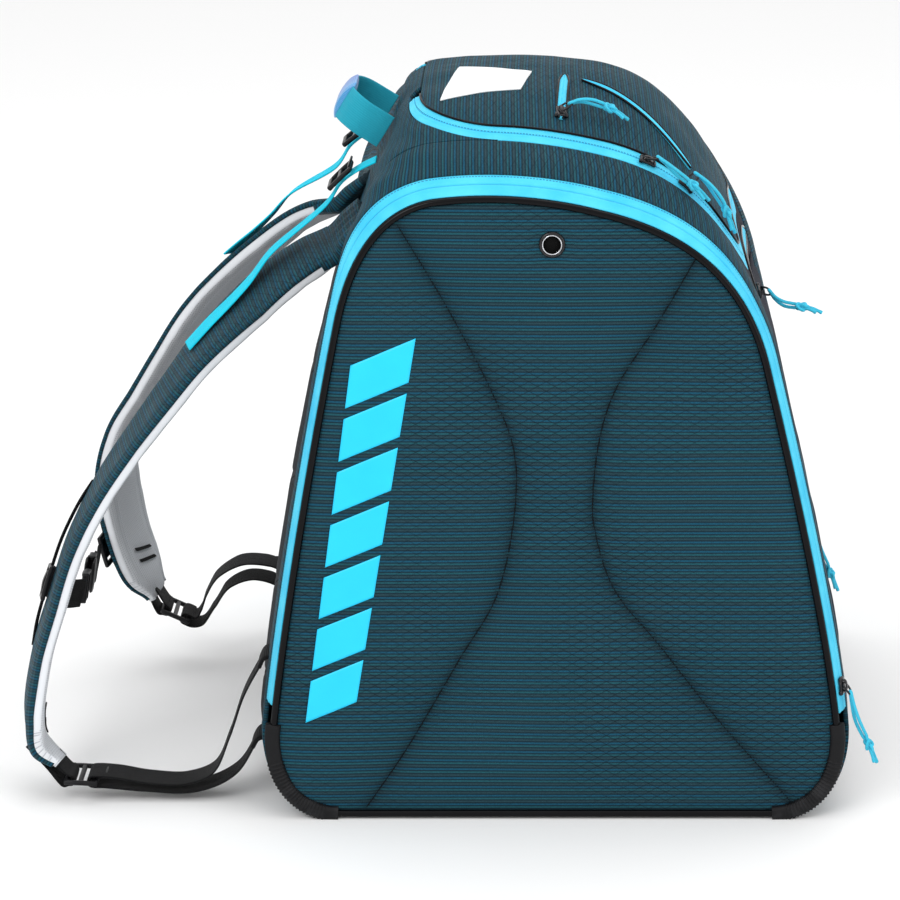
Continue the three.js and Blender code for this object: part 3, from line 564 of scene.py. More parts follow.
def zip_tape_cloth(name, stitches):
    """Twill tape with rows of stitches along it, at distances across it in metres."""
    paint = Paint(name, 0.6, Sheen_Weight=0.08, Specular_IOR_Level=0.2)
    across, along = paint.pattern()
    base = paint.blend(paint.ramp(paint.noise(40, 3), 0.3, 0.7), (0.04, 0.53, 0.8), (0.09, 0.66, 0.87))
    twill = paint.wave(paint.math("MULTIPLY_ADD", across, 1.4, along), 0.0011)
    base = paint.blend(paint.math("MULTIPLY", twill, 0.22), base, (0.015, 0.34, 0.62))
    dash = paint.line(along, 0.0021, 0.0013)
    for place in stitches:
        away = paint.math("ABSOLUTE", paint.math("SUBTRACT", across, place))
        row = paint.math("LESS_THAN", away, 0.00035)
        stitch = paint.math("MULTIPLY", row, dash)
        base = paint.blend(paint.math("MULTIPLY", stitch, 0.75), base, (0.008, 0.12, 0.28))
        paint.bump(stitch, 0.0004, 0.6)
    paint.colour(base)
    paint.bump(twill, 0.0003, 0.5)
    return paint.material


def webbing_cloth(name, base, light, rib=0.0012):
    """Woven webbing: ribs along it, crossed by a herringbone."""
    paint = Paint(name, 0.7, Sheen_Weight=0.03, Specular_IOR_Level=0.12)
    across, along = paint.pattern()
    fold = paint.math("PINGPONG", across, 0.0032)
    herring = paint.wave(paint.math("MULTIPLY_ADD", fold, 1.2, along), rib)
    ribs = paint.wave(across, rib * 1.3)
    height = paint.math("MULTIPLY", herring, paint.math("MULTIPLY_ADD", ribs, 0.5, 0.5))
    tint = paint.math("MULTIPLY_ADD", paint.noise(35, 3), 0.5, 0.0)
    # Painted highlight: the raised threads of the weave are painted lighter, over a random tint.
    paint.colour(paint.blend(paint.math("MULTIPLY_ADD", height, 0.6, tint), base, light))
    paint.bump(height, 0.0005, 0.8)
    return paint.material


def cord_cloth():
    """Braided cord: two families of strands that cross."""
    paint = Paint("braided_cord", 0.65, Sheen_Weight=0.1, Specular_IOR_Level=0.2)
    across, along = paint.pattern()
    strands = [paint.wave(paint.math("MULTIPLY_ADD", across, s, along), 0.0011) for s in (1, -1)]
    braid = paint.math("MAXIMUM", *strands)
    paint.colour(paint.blend(braid, (0.02, 0.36, 0.56), (0.05, 0.6, 0.82)))
    paint.bump(braid, 0.0003, 0.8)
    return paint.material


def gloss_piping():
    paint = Paint("piping_vinyl", 0.2, Specular_IOR_Level=0.13)
    paint.colour(paint.blend(paint.noise(30, 3), (0.001, 0.001, 0.0015), (0.003, 0.003, 0.004)))
    paint.rough(paint.ramp(paint.noise(45, 3), -0.2, 3.6))
    paint.bump(paint.noise(160, 3), 0.0004, 0.2)
    return paint.material


def moulded(name, base, light, roughness, grain):
    """Moulded rubber or plastic with a fine grain and lighter scuffs at random places."""
    paint = Paint(name, roughness, Specular_IOR_Level=0.22)
    scuff = paint.ramp(paint.noise(70, 5), 0.5, 0.8)
    paint.colour(paint.blend(scuff, base, light))
    paint.rough(paint.math("MULTIPLY_ADD", paint.noise(120, 3), 0.25, roughness - 0.12))
    paint.bump(paint.noise(grain, 3), 0.0003, 0.4)
    return paint.material


def enamel():
    paint = Paint("black_enamel", 0.3, Metallic=0.7, Coat_Weight=0.3, Coat_Roughness=0.15)
    scuff = paint.ramp(paint.noise(220, 4), 0.6, 0.75)
    paint.colour(paint.blend(scuff, (0.012, 0.012, 0.014), (0.12, 0.12, 0.13)))
    paint.rough(paint.math("MULTIPLY_ADD", paint.noise(150, 2), 0.3, 0.15))
    return paint.material


def grip_cloth():
    """The handle's sleeve: woven cloth that fades from sky blue to violet along its length."""
    paint = Paint("grip_weave", 0.5, Sheen_Weight=0.3, Specular_IOR_Level=0.4)
    across, along = paint.pattern()
    share = paint.ramp(along, -0.02, 0.02)
    base = paint.blend(share, (0.035, 0.3, 0.62), (0.09, 0.13, 0.5))
    threads = paint.wave(across, 0.0013)
    paint.colour(paint.blend(paint.math("MULTIPLY", threads, 0.35), base, (0.2, 0.42, 0.75)))
    paint.bump(threads, 0.0005, 0.7)
    return paint.material


def printed_film(name, base, light):
    paint = Paint(name, 0.4, Specular_IOR_Level=0.45)
    paint.colour(paint.blend(paint.noise(50, 3), base, light))
    paint.bump(paint.noise(900, 2), 0.0002, 0.3)
    paint.rough(paint.math("MULTIPLY_ADD", paint.noise(60, 2), 0.2, 0.3))
    return paint.material


def polished_metal():
    paint = Paint("bright_metal", 0.2, Metallic=1.0)
    paint.colour(paint.blend(paint.noise(200, 2), (0.55, 0.57, 0.6), (0.75, 0.77, 0.8)))
    paint.rough(paint.math("MULTIPLY_ADD", paint.noise(180, 2), 0.25, 0.1))
    return paint.material


SIDE_CLOTH = striped_fabric("striped_side", 0.00664)
TOP_CLOTH = striped_fabric("striped_top", 0.0062)
STRAP_CLOTH = striped_fabric("striped_strap", 0.0064)
DARK_CLOTH = dark_cloth("dark_navy", (0.003, 0.004, 0.012), (0.007, 0.01, 0.024))
# The seams' thread, painted near black in the colours of the painted seam shade: the stitches and the shade
# in each seam's crease.
SEAM_THREAD_AND_SHADE = dark_cloth("seam_thread_and_shade", (0.001, 0.003, 0.005), (0.002, 0.006, 0.009))
BLACK_CLOTH = dark_cloth("black_lining", (0.004, 0.004, 0.005), (0.01, 0.01, 0.012))
# Painted shade: near black, for the shadowed inside seen through each eyelet's hole.
HOLE_SHADE = dark_cloth("eyelet_hole", (0.0005, 0.0005, 0.0006), (0.001, 0.001, 0.001))
PALE_MESH = spacer_mesh("pale_mesh", (0.72, 0.74, 0.77), (0.5, 0.52, 0.56), 0.0022)
BACK_MESH = spacer_mesh("back_mesh", (0.012, 0.015, 0.02), (0.003, 0.004, 0.005), 0.0034)
ZIP_CLOTH = zip_tape_cloth("zip_tape", ())
EDGE_ZIP_CLOTH = zip_tape_cloth("zip_tape_edge_stitched", (0.0058,))
COIL_ZIP_CLOTH = zip_tape_cloth("zip_tape_coil_stitched", (0.0006,))
BLACK_WEBBING = webbing_cloth("black_webbing", (0.002, 0.002, 0.0025), (0.009, 0.009, 0.01))
CYAN_WEBBING = webbing_cloth("cyan_webbing", (0.003, 0.52, 0.74), (0.012, 0.7, 0.88))
TEAL_WEBBING = webbing_cloth("teal_webbing", (0.01, 0.3, 0.42), (0.03, 0.42, 0.55))
CORD_CLOTH = cord_cloth()
PIPING_VINYL = gloss_piping()
RUBBER = moulded("guard_rubber", (0.003, 0.003, 0.004), (0.02, 0.02, 0.022), 0.55, 600)
BLACK_PLASTIC = moulded("buckle_plastic", (0.003, 0.003, 0.004), (0.018, 0.018, 0.02), 0.34, 900)
ENAMEL = enamel()
BRIGHT_METAL = polished_metal()
GRIP_CLOTH = grip_cloth()
CYAN_FILM = printed_film("cyan_film", (0.0, 0.54, 0.86), (0.005, 0.6, 0.92))
PALE_FILM = printed_film("pale_film", (0.86, 0.88, 0.89), (0.92, 0.93, 0.94))


# ---------------------------------------------------------------- sides

PIPING_IN = 3.6  # the middle of the piping, inside the side outline
PIPING_RADIUS = 2.5
PANEL_IN = 5.6  # the edge of the side panel, inside the side outline
WALL = 4
FOOT_REAR, SHOULDER_REAR, SHOULDER_FRONT, FOOT_FRONT = 46, 416, 702, OUTLINE_LENGTH - 46
LEFT_SEAM = [(-107, 425), (-75, 370), (-43, 308), (-29, 270), (-27, 235), (-40, 165), (-68, 115),
             (-105, 50), (-133, 8)]
RIGHT_SEAM = [(97, 404), (68, 353), (42, 311), (31, 277), (26, 228), (28, 208), (41, 168), (73, 127),
              (111, 77), (168, 10)]
EYELET = (-2, 412)


def inner_outline(inset, start, end, count):
    """The side outline let in by a distance, between two places along it."""
    along = np.linspace(start, end, count)
    return outline_point(SIDE_OUTLINE, along) + outline_inward(SIDE_OUTLINE, along) * inset


def foot_line(inset, count):
    """The bottom edge, from one foot of the outline to the other round both corners."""
    rear = inner_outline(inset, FOOT_REAR, 1, 60)
    front = inner_outline(inset, OUTLINE_LENGTH - 1, FOOT_FRONT, 60)
    return resample(np.concatenate([rear, front]), count)


def side_patch(columns, rows):
    """A grid of places on the side, as X and Z, with its edges on the panel's outline."""
    u, v = np.linspace(0, 1, columns), np.linspace(0, 1, rows)
    bottom = foot_line(PANEL_IN, columns)
    top = resample(inner_outline(PANEL_IN, SHOULDER_REAR, SHOULDER_FRONT, 400), columns)
    left = resample(inner_outline(PANEL_IN, FOOT_REAR, SHOULDER_REAR, 400), rows)
    right = resample(inner_outline(PANEL_IN, FOOT_FRONT, SHOULDER_FRONT, 400), rows)
    u, v = u[None, :, None], v[:, None, None]
    ruled = mix(bottom[None], top[None], v) + mix(left[:, None], right[:, None], u)
    low = mix(bottom[0], bottom[-1], u)
    high = mix(top[0], top[-1], u)
    return ruled - mix(low, high, v)


def distance_to_line(places, line):
    """How far places are from a line of points."""
    best = np.full(places.shape[:-1], 1e9)
    for a, b in zip(line[:-1], line[1:]):
        ab = b - a
        t = np.clip(((places - a) @ ab) / (ab @ ab), 0, 1)
        best = np.minimum(best, np.linalg.norm(places - a - t[..., None] * ab, axis=-1))
    return best


def seam_distance(places):
    return np.minimum(*(distance_to_line(places, spline(seam, 60)) for seam in (LEFT_SEAM, RIGHT_SEAM)))


def side_relief(places, u, v, seed):
    """How far the side's cloth stands off its flat wall: puffed between seams, drawn in at them."""
    away = seam_distance(places)
    edge = np.minimum(np.minimum(u, 1 - u) * 300, np.minimum(v, 1 - v) * 400)
    puff = 3.4 * (1 - np.exp(-away / 17)) * (1 - np.exp(-edge / 16))
    fold = lattice_noise(places[..., 0], places[..., 1], 62, seed) * 1.3
    fold += lattice_noise(places[..., 0] * 0.7 + places[..., 1], places[..., 1], 27, seed + 1) * 0.5
    pucker = np.sin(places[..., 1] / 2.3 + places[..., 0] / 5) * np.exp(-away / 6) * 0.3
    stitch = -1.1 * np.exp(-(away / 1.3) ** 2)
    calm = 1 - np.exp(-edge / 22)
    return puff + (fold + pucker) * calm + stitch * (1 - np.exp(-edge / 5)) - 0.8


def side_panels():
    """The side wall with its door as one piece of cloth."""
    rows, columns = 230, 210
    places = side_patch(columns, rows)
    u, v = np.meshgrid(np.linspace(0, 1, columns), np.linspace(0, 1, rows))
    hole = np.hypot(places[..., 0] - EYELET[0], places[..., 1] - EYELET[1])
    for side, direction in SIDES:
        relief = side_relief(places, u, v, 3 if direction == LEFT else 11)
        relief = mix(0.0, relief, smooth(hole, 9, 20)) - 2.5 * (1 - smooth(hole, 5.2, 6.6))
        x, z = places[..., 0], places[..., 1]
        outer = np.stack([x, -side_at(z) - relief, z], -1)
        inner = np.stack([x, -side_at(z) + WALL, z], -1)
        outer, inner = mirrored(outer, direction), mirrored(inner, direction)
        panel = slab(f"{side}_side_cloth", outer, inner, np.stack([x, z], -1), SIDE_CLOTH)
        shade_seams(panel, seam_distance(places))
        put(panel, None, "striped_fabric", f"{side}_boot_door", f"{side}_side_base")
        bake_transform(panel)
        for number, seam in enumerate((LEFT_SEAM, RIGHT_SEAM), 1):
            line = spline(seam, 260)
            nearest = [np.argmin(np.sum((places.reshape(-1, 2) - place) ** 2, -1)) for place in line]
            lift = np.convolve(np.pad(relief.reshape(-1)[nearest], 4, mode="edge"), np.ones(9) / 9, "valid")
            path = np.stack([line[:, 0], -side_at(line[:, 1]) - lift - 0.05, line[:, 1]], -1)
            path = mirrored(path, direction)
            # Each seam's line: a thin tube of the near black thread colour, which is also the painted shade
            # of the seam's crease.
            thread = tube(f"{side}_door_seam_{number}", path, 0.4, SEAM_THREAD_AND_SHADE, 8, (1, 0, 0))
            put(thread, None, "striped_fabric")
            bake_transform(thread)


def shade_seams(panel, away):
    """Paints shade into the side's cloth beside its seams: marks how deep in the folds beside them each
    corner lies.
    """
    shade = 0.24 * np.exp(-(away / 5.5) ** 2) + 0.14 * np.exp(-(away / 2.2) ** 2)
    shade = shade + 0.12 * np.exp(-(away / 18) ** 2)
    attribute = panel.data.attributes.new("seam_shade", "FLOAT", "POINT")
    attribute.data.foreach_set("value", np.concatenate([shade.ravel()] * 2).astype(np.float32))


def side_loop(inset, proud, count):
    """A closed line round the side at a distance inside its outline."""
    along = np.linspace(1, OUTLINE_LENGTH - 1, 700)
    line = outline_point(SIDE_OUTLINE, along) + outline_inward(SIDE_OUTLINE, along) * inset
    line = resample(np.concatenate([line, line[:1]]), count + 1)[:-1]
    return np.stack([line[:, 0], -side_at(line[:, 1]) - proud, line[:, 1]], -1)


def pipings():
    """The piping round each side."""
    for side, direction in SIDES:
        path = mirrored(side_loop(PIPING_IN, 0.2, 420), direction)
        piping = tube(f"{side}_piping", path, PIPING_RADIUS, PIPING_VINYL, 12, (0, 1, 0), True)
        put(piping, None, "piping", f"{side}_door_piping")
        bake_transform(piping)


def corner_guards():
    """Ribbed rubber sleeves round the lower corners."""
    ends = {
        "back": (along_at_height(70, False), 3),
        "front": (along_at_height(70, True), OUTLINE_LENGTH - 3),
    }
    for side, direction in SIDES:
        for end, (start, stop) in ends.items():
            steps = 300
            along = np.linspace(start, stop, steps)
            travelled = np.abs(along - start)
            reach = abs(stop - start)
            ribbed = smooth(travelled, 24, 27) * (1 - smooth(travelled, reach - 10, reach - 8))
            rib = ribbed * 0.75 * np.maximum(0, np.cos(travelled * 2 * math.pi / 2.7)) ** 0.6
            edge = outline_point(SIDE_OUTLINE, along)
            inward = outline_inward(SIDE_OUTLINE, along)
            rings = []
            for angle in np.linspace(0, 2 * math.pi, 18, endpoint=False):
                out, proud = guard_section(angle)
                grown_out = 3.2 - out * (1 + 0.16 * rib)
                place = edge + inward * grown_out[:, None]
                y = -side_at(place[:, 1]) - (proud + np.sign(proud) * rib * 0.5)
                rings.append(np.stack([place[:, 0], y, np.maximum(place[:, 1], 0.0)], -1))
            rings = mirrored(np.stack(rings, 1), direction)
            pattern = np.stack(np.broadcast_arrays(np.linspace(0, 30, 18)[None], travelled[:, None]), -1)
            guard = ring_body(f"{side}_{end}_rubber", rings, RUBBER, pattern)
            put(guard, "bag", "rubber", f"{side}_{end}_guard")


def guard_section(angle):
    """One place on a guard's section: how far it reaches outwards, and how far it stands proud."""
    c, s = math.cos(angle), math.sin(angle)
    size = (abs(c) ** 3 + abs(s) ** 3) ** (-1 / 3)
    return 5.4 * c * size, 3.7 * s * size - 0.3


def eyelets():
    """A pressed metal eyelet in each door, with a bright lip round its hole and a near black disc of
    painted shade in the hole.
    """
    profile = [(5.7, -3.0), (6.3, 0.2), (7.2, 1.15), (8.2, 1.0), (9.0, 0.35), (9.1, -0.6), (7.5, -1.0),
               (6.6, -1.6), (6.2, -3.0)]
    turns = np.linspace(0, 2 * math.pi, 40, endpoint=False)
    for side, direction in SIDES:
        def place(radius, turn, proud):
            z = EYELET[1] + radius * math.sin(turn)
            return (EYELET[0] + radius * math.cos(turn), -side_at(z) - proud - 0.5, z)
        rings = np.array([[place(radius, turn, proud) for radius, proud in profile] for turn in turns])
        pattern = np.zeros(rings.shape[:2] + (2,))
        ring = ring_body(f"{side}_eyelet_ring", mirrored(rings, direction), ENAMEL, pattern, closed=True)
        put(ring, f"{side}_door", "dark_metal", f"{side}_eyelet")
        lip = mirrored(np.array([place(6.5, turn, 0.75) for turn in turns]), direction)
        lip = tube(f"{side}_eyelet_lip", lip, 0.42, BRIGHT_METAL, 8, (0, 1, 0), True)
        put(lip, f"{side}_door", "dark_metal")
        # Painted shade: a near black disc fills the hole, for the shadowed inside of the bag behind it.
        core = mirrored(np.array([place(0, 0, -2.6), place(0, 0, -0.7)]), direction)
        put(tube(f"{side}_eyelet_shade_disc", core, 6.1, HOLE_SHADE, 28), f"{side}_door", "dark_fabric")


# ---------------------------------------------------------------- zips

def tape_profile(share, first_edge_is_inner):
    """The height of a zip tape across its width: flat, with a ridge over the coil at its inner edge."""
    t = share if first_edge_is_inner else 1 - share
    ridge = np.exp(-((t - 0.16) / 0.16) ** 2)
    return 0.55 + 0.5 * ridge - 0.3 * smooth(0.04 - t, 0, 0.04)


def tape_piece(name, along, share, places, inner_first, cloth, body, node):
    """A tape between rows of places; its pattern runs from the coil outwards, and along the zip."""
    outer, inner = places
    width = TAPE * (share if inner_first else 1 - share)
    uv = np.stack(np.broadcast_arrays(width[None, :], along[:, None]), -1)
    tape = slab(name, outer, inner, uv, cloth)
    return put(tape, body, "zip_tape", node)


def door_zips():
    steps, across = 420, 12
    start, end = along_at_height(84, False), along_at_height(78, True)
    along = np.linspace(start, end, steps)
    halves = (("door", -0.04, 0.497, False, "{}_door", ZIP_CLOTH),
              ("frame", 0.503, 1.0, True, "bag", EDGE_ZIP_CLOTH))
    for side, direction in SIDES:
        for half, low, high, inner_first, body, cloth in halves:
            share = np.linspace(0, 1, across)
            a, s = np.meshgrid(along, mix(low, high, share), indexing="ij")
            rise = np.broadcast_to(tape_profile(share, inner_first), a.shape)
            layers = [mirrored(slope(a, s, r), direction) for r in (rise - 0.6, rise - 1.8)]
            tape_piece(f"{side}_door_zip_{half}", along, share, layers, inner_first, cloth,
                       body.format(side), f"{side}_{'door' if half == 'door' else 'frame'}_tape")


def lid_seam(steps):
    """The lid's edge in the pattern, from one end of its hinge round the front to the other."""
    back, front = LID_BACK + LID_BACK_CORNER, LID_FRONT - LID_FRONT_CORNER
    back_edge, front_edge = LID_HALF - LID_BACK_CORNER, LID_HALF - LID_FRONT_CORNER
    arcs = ((back, -back_edge, LID_BACK_CORNER, 1.02, 1.5), (front, -front_edge, LID_FRONT_CORNER, 1.5, 2),
            (front, front_edge, LID_FRONT_CORNER, 0, 0.5), (back, back_edge, LID_BACK_CORNER, 0.5, 0.98))
    points = []
    for x, y, radius, first, last in arcs:
        for angle in np.linspace(first * math.pi, last * math.pi, 40):
            points.append((x + radius * math.cos(angle), y + radius * math.sin(angle)))
    line = resample(points, steps)
    ahead = tangents(line)
    return line, np.stack([ahead[:, 1], -ahead[:, 0]], -1)


def lid_zips():
    steps, across = 460, 12
    line, out = lid_seam(steps)
    length = np.linspace(0, 1, steps) * np.sum(np.linalg.norm(np.diff(line, axis=0), axis=1))
    halves = (("lid", 0.4, 7.1, False, COIL_ZIP_CLOTH, "lid", "lid_tape"),
              ("frame", 7.3, 14.3, True, ZIP_CLOTH, "bag", "lid_frame_tape"))
    for half, low, high, inner_first, cloth, body, node in halves:
        share = np.linspace(0, 1, across)
        place = line[:, None] + out[:, None] * mix(low, high, share)[None, :, None]
        rise = np.broadcast_to(tape_profile(share, inner_first), place.shape[:2])
        layers = [above_shell(place[..., 0], place[..., 1], r) for r in (rise - 0.5, rise - 1.7)]
        tape_piece(f"lid_zip_{half}", length, share, layers, inner_first, cloth, body, node)


def strip_zip(name, start, end, body, node, curve=0.0, half=4.4, lift=1.0):
    """A short pocket zip: one tape with its coil down the middle, drawn in at its two ends."""
    steps, across = 120, 21
    t = np.linspace(0, 1, steps)
    line = mix(np.array(start, float), np.array(end, float), t[:, None])
    ahead = unit(np.array(end, float) - np.array(start, float))
    out = np.array([ahead[1], -ahead[0]])
    line = line + out * (curve * 4 * t * (1 - t))[:, None]
    width = np.linspace(-half, half, across)
    taper = np.sqrt(np.clip(6 * np.minimum(t, 1 - t), 0, 1)) * 0.75 + 0.25
    place = line[:, None] + out * (width[None, :] * taper[:, None])[..., None]
    ridge = 0.5 * np.exp(-((np.abs(width) - 1.2) / 0.8) ** 2) - 0.3 * np.exp(-(width / 0.25) ** 2)
    rise = np.broadcast_to(lift + ridge, place.shape[:2])
    outer = above_shell(place[..., 0], place[..., 1], rise)
    inner = above_shell(place[..., 0], place[..., 1], rise * 0 + 0.1)
    length = np.linalg.norm(np.array(end, float) - np.array(start, float)) * t
    uv = np.stack(np.broadcast_arrays(np.abs(width)[None], length[:, None]), -1)
    tape = slab(name, outer, inner, uv, ZIP_CLOTH)
    for way in (-1, 1):
        edge = line + out * (way * (half + 0.5) * taper)[:, None]
        welt = above_shell(edge[:, 0], edge[:, 1], np.full(steps, lift))
        put(tube(f"{name}_welt_{way + 2}", welt, 0.8, PIPING_VINYL, 8), body, "piping")
    return put(tape, body, "zip_tape", *node)


# ---------------------------------------------------------------- shell cloth

def cloth_relief(along, across, depth, seed):
    """Soft folds of the shell's cloth, deeper where it is slack behind the shoulders."""
    fold = lattice_noise(along, across, 38, seed) * 0.9
    fold = fold + lattice_noise(along, across * 1.5, 15, seed + 5) * 0.35
    slack = np.exp(-(((along - 455) / 42) ** 2 + ((np.abs(across) - 138) / 30) ** 2))
    creases = np.sin((across + along * 0.6) / 4.2) * slack * 1.1
    return depth * fold + creases


def gussets():
    """The strip over each boot compartment, between the middle and the door's zip."""
    rows, columns = 420, 20
    along = np.linspace(0.5, OUTLINE_LENGTH - 0.5, rows)
    for side, direction in SIDES:
        share = np.linspace(0, 1, columns)
        a, c = np.meshgrid(along, -mix(SEAM + 0.6, RIM_ACROSS - 0.1, share), indexing="ij")
        bulge = np.sin(share * math.pi)[None]
        rise = 0.5 + 1.4 * bulge + cloth_relief(a, c, 0.7, 31 if direction == LEFT else 47) * bulge
        outer = mirrored(above_shell(a, c, rise), direction)
        inner = mirrored(above_shell(a, c, rise * 0 - 2.6), direction)
        for layer in (outer, inner):
            layer[..., 2] = np.maximum(layer[..., 2], 0.0)
        inner[..., 2] = np.maximum(inner[..., 2], 0.6)
        cloth = slab(f"{side}_gusset_cloth", outer, inner, np.stack([c, a], -1), TOP_CLOTH)
        put(cloth, "bag", "striped_fabric", f"{side}_gusset")


def rounded_across(columns, edge, corner):
    straight = 0.36
    share = np.linspace(-1, 1, columns)
    out = np.abs(share)
    turn = np.maximum(0, out - straight) / (1 - straight) * math.pi / 2
    return np.sign(share) * ((edge - corner) * np.minimum(1, out / straight) + corner * np.sin(turn))


def lid_edge(across, end, direction, corner, edge):
    into = np.maximum(0, np.abs(across) - (edge - corner))
    return end + direction * (corner - np.sqrt(np.maximum(0, corner ** 2 - into ** 2)))


def lid_grid(rows, columns, inset=0.0):
    """Pattern places over the lid, with its edge on the zip."""
    half = LID_HALF - inset
    across = rounded_across(columns, half, LID_BACK_CORNER - inset)
    back = lid_edge(across, LID_BACK + inset, 1, LID_BACK_CORNER - inset, half)
    front = lid_edge(across, LID_FRONT - inset, -1, LID_FRONT_CORNER - inset, half)
    t = np.linspace(0, 1, rows)[:, None]
    return mix(back[None], front[None], t), np.broadcast_to(across[None], (rows, columns))


def lid_rise(along, across):
    return 1.1 + cloth_relief(along, across, 1.1, 71) * 0.9


def lid():
    """The domed lid, with a thin welt along its edge."""
    rows, columns = 190, 170
    along, across = lid_grid(rows, columns)
    edge = np.minimum(LID_HALF - np.abs(across), np.minimum(along - LID_BACK, LID_FRONT - along))
    inside = 1 - np.exp(-np.maximum(edge, 0) / 9)
    rise = 0.3 + inside * lid_rise(along, across)
    panel = shell_slab("lid_cloth", along, across, rise, 3.0 + rise, TOP_CLOTH)
    put(panel, "lid", "striped_fabric", "lid_panel")
    line, out = lid_seam(460)
    path = line + out * 0.2
    welt = above_shell(path[:, 0], path[:, 1], np.full(len(path), 0.7))
    put(tube("lid_welt", welt, 0.9, PIPING_VINYL, 8), "lid", "piping")


def middle_grid(rows, columns, back):
    """Pattern places over the panel behind or in front of the lid, up to the lid's zip."""
    corner = (LID_BACK_CORNER if back else LID_FRONT_CORNER) + ZIP
    across = rounded_across(columns, SEAM, corner)
    if back:
        hinge = 1 - smooth(np.abs(across), 36, 46)
        top = lid_edge(across, mix(LID_BACK - ZIP + 0.2, LID_BACK - 0.5, hinge), 1, corner, SEAM)
        foot = 1.0
    else:
        top = lid_edge(across, LID_FRONT + ZIP + 0.2, -1, corner, SEAM)
        foot = OUTLINE_LENGTH - 1.0
    t = np.linspace(0, 1, rows)[:, None]
    return mix(foot, top[None], t), np.broadcast_to(across[None], (rows, columns))


def channel(distance, width):
    return np.exp(-(distance / width) ** 2)


def back_panel():
    """The padded back: two long cushions of dark mesh with a hollow between, and striped cloth above."""
    rows, columns, yoke = 240, 150, 398
    along, across = middle_grid(rows, columns, True)
    top = along[-1]
    t = np.linspace(0, 1, rows)[:, None]
    parts = (("back_cloth", mix(1.0, yoke, t) + top * 0, BACK_MESH, "dark_fabric", ["back_panel"]),
             ("back_yoke", mix(yoke, top, t[::3]), TOP_CLOTH, "striped_fabric", []))
    for name, along, cloth, slot, nodes in parts:
        across_here = np.broadcast_to(across[0], along.shape)
        pad = 1 - smooth(along, 330, yoke)
        edge = np.minimum(SEAM - np.abs(across_here), along - 30)
        groove = channel(across_here, 9) + channel(np.abs(across_here) - 88, 3.2)
        for place in (96, 168, 240, 312):
            stitched = channel(along - place - np.abs(across_here) * 0.16, 3.0)
            groove = groove + stitched * (1 - channel(across_here, 16))
        inside = smooth(edge, 0, 22)
        rise = 0.6 + pad * inside * (3.8 - 3.4 * np.clip(groove, 0, 1))
        slack = smooth(along, yoke, yoke + 30) * smooth(SEAM - np.abs(across_here), 0, 20)
        slack = slack * (1 - smooth(along, top - 16, top - 2))
        rise = rise + cloth_relief(along, across_here, 0.5, 91) * 0.7
        rise = rise + slack * np.sin((along * 0.9 - np.abs(across_here) * 0.5) / 5.5) * 0.9
        rise = rise - 0.9 * channel(along - yoke, 1.6)
        put(shell_slab(name, along, across_here, rise, rise + 3.0, cloth), "bag", slot, *nodes)


def front_panel():
    """The front: plain dark cloth with a flat pocket."""
    rows, columns = 170, 130
    along, across = middle_grid(rows, columns, False)
    rise = 0.3 + cloth_relief(along, across, 0.8, 111) * 0.8
    cloth = shell_slab("front_cloth", along, across, rise, rise + 3.0, DARK_CLOTH)
    put(cloth, "bag", "dark_fabric", "front_panel")
    t, s = np.meshgrid(np.linspace(0, 1, 120), np.linspace(-1, 1, 110), indexing="ij")
    a = mix(782, 1062, t)
    c = mix(102, 108, t) * s
    corner_in = 1 - (np.abs(2 * t - 1) ** 10 + np.abs(s) ** 10)
    inside = smooth(corner_in, 0, 0.35)
    rise = 1.6 + inside * (2.6 + cloth_relief(a, c, 0.9, 131))
    pocket = shell_slab("front_pocket_cloth", a, c, rise, rise - 0.6, DARK_CLOTH)
    put(pocket, "bag", "dark_fabric", "front_pocket")


def base():
    """The base: tough cloth over a board, thinner towards its edge."""
    half_length, half_width, thickness, edge = 147.5, 184.5, 5, 1.6
    rows, columns = 40, 40
    t, s = np.meshgrid(np.linspace(-1, 1, rows), np.linspace(-1, 1, columns), indexing="ij")
    x, y = t * half_length, s * half_width
    near = np.minimum(half_length - np.abs(x), half_width - np.abs(y))
    lift = edge * (1 - smooth(near, 0, 5))
    top = np.stack([x, y, thickness + lattice_noise(x, y, 40, 151) * 0.4 - lift * 0.5], -1)
    bottom = np.stack([x, y, lift * 0.6], -1)
    cloth = slab("base_cloth", bottom, top, np.stack([x, y], -1), BLACK_CLOTH)
    put(cloth, "bag", "dark_fabric", "base_panel")


def dividers():
    """The walls between the compartments, of lining cloth with soft folds."""
    for side, direction in SIDES:
        along = np.linspace(30, OUTLINE_LENGTH - 30, 160)
        ring = outline_point(SIDE_OUTLINE, along) + outline_inward(SIDE_OUTLINE, along) * 18.5
        ring[:, 1] = np.clip(ring[:, 1], 6, 423)
        base_line = np.stack([np.linspace(ring[0, 0], ring[-1, 0], len(ring)), np.full(len(ring), 6.0)], -1)
        t = np.linspace(0, 1, 50)[:, None, None]
        places = mix(base_line[None], ring[None], t)
        fold = lattice_noise(places[..., 0], places[..., 1], 50, 171 + direction) * 0.5
        outer = np.stack([places[..., 0], -(75.9 + fold), places[..., 1]], -1)
        inner = np.stack([places[..., 0], -(74.4 + fold), places[..., 1]], -1)
        outer, inner = mirrored(outer, direction), mirrored(inner, direction)
        wall = slab(f"{side}_divider_cloth", outer, inner, places, BLACK_CLOTH)
        put(wall, "bag", "dark_fabric", f"{side}_divider")


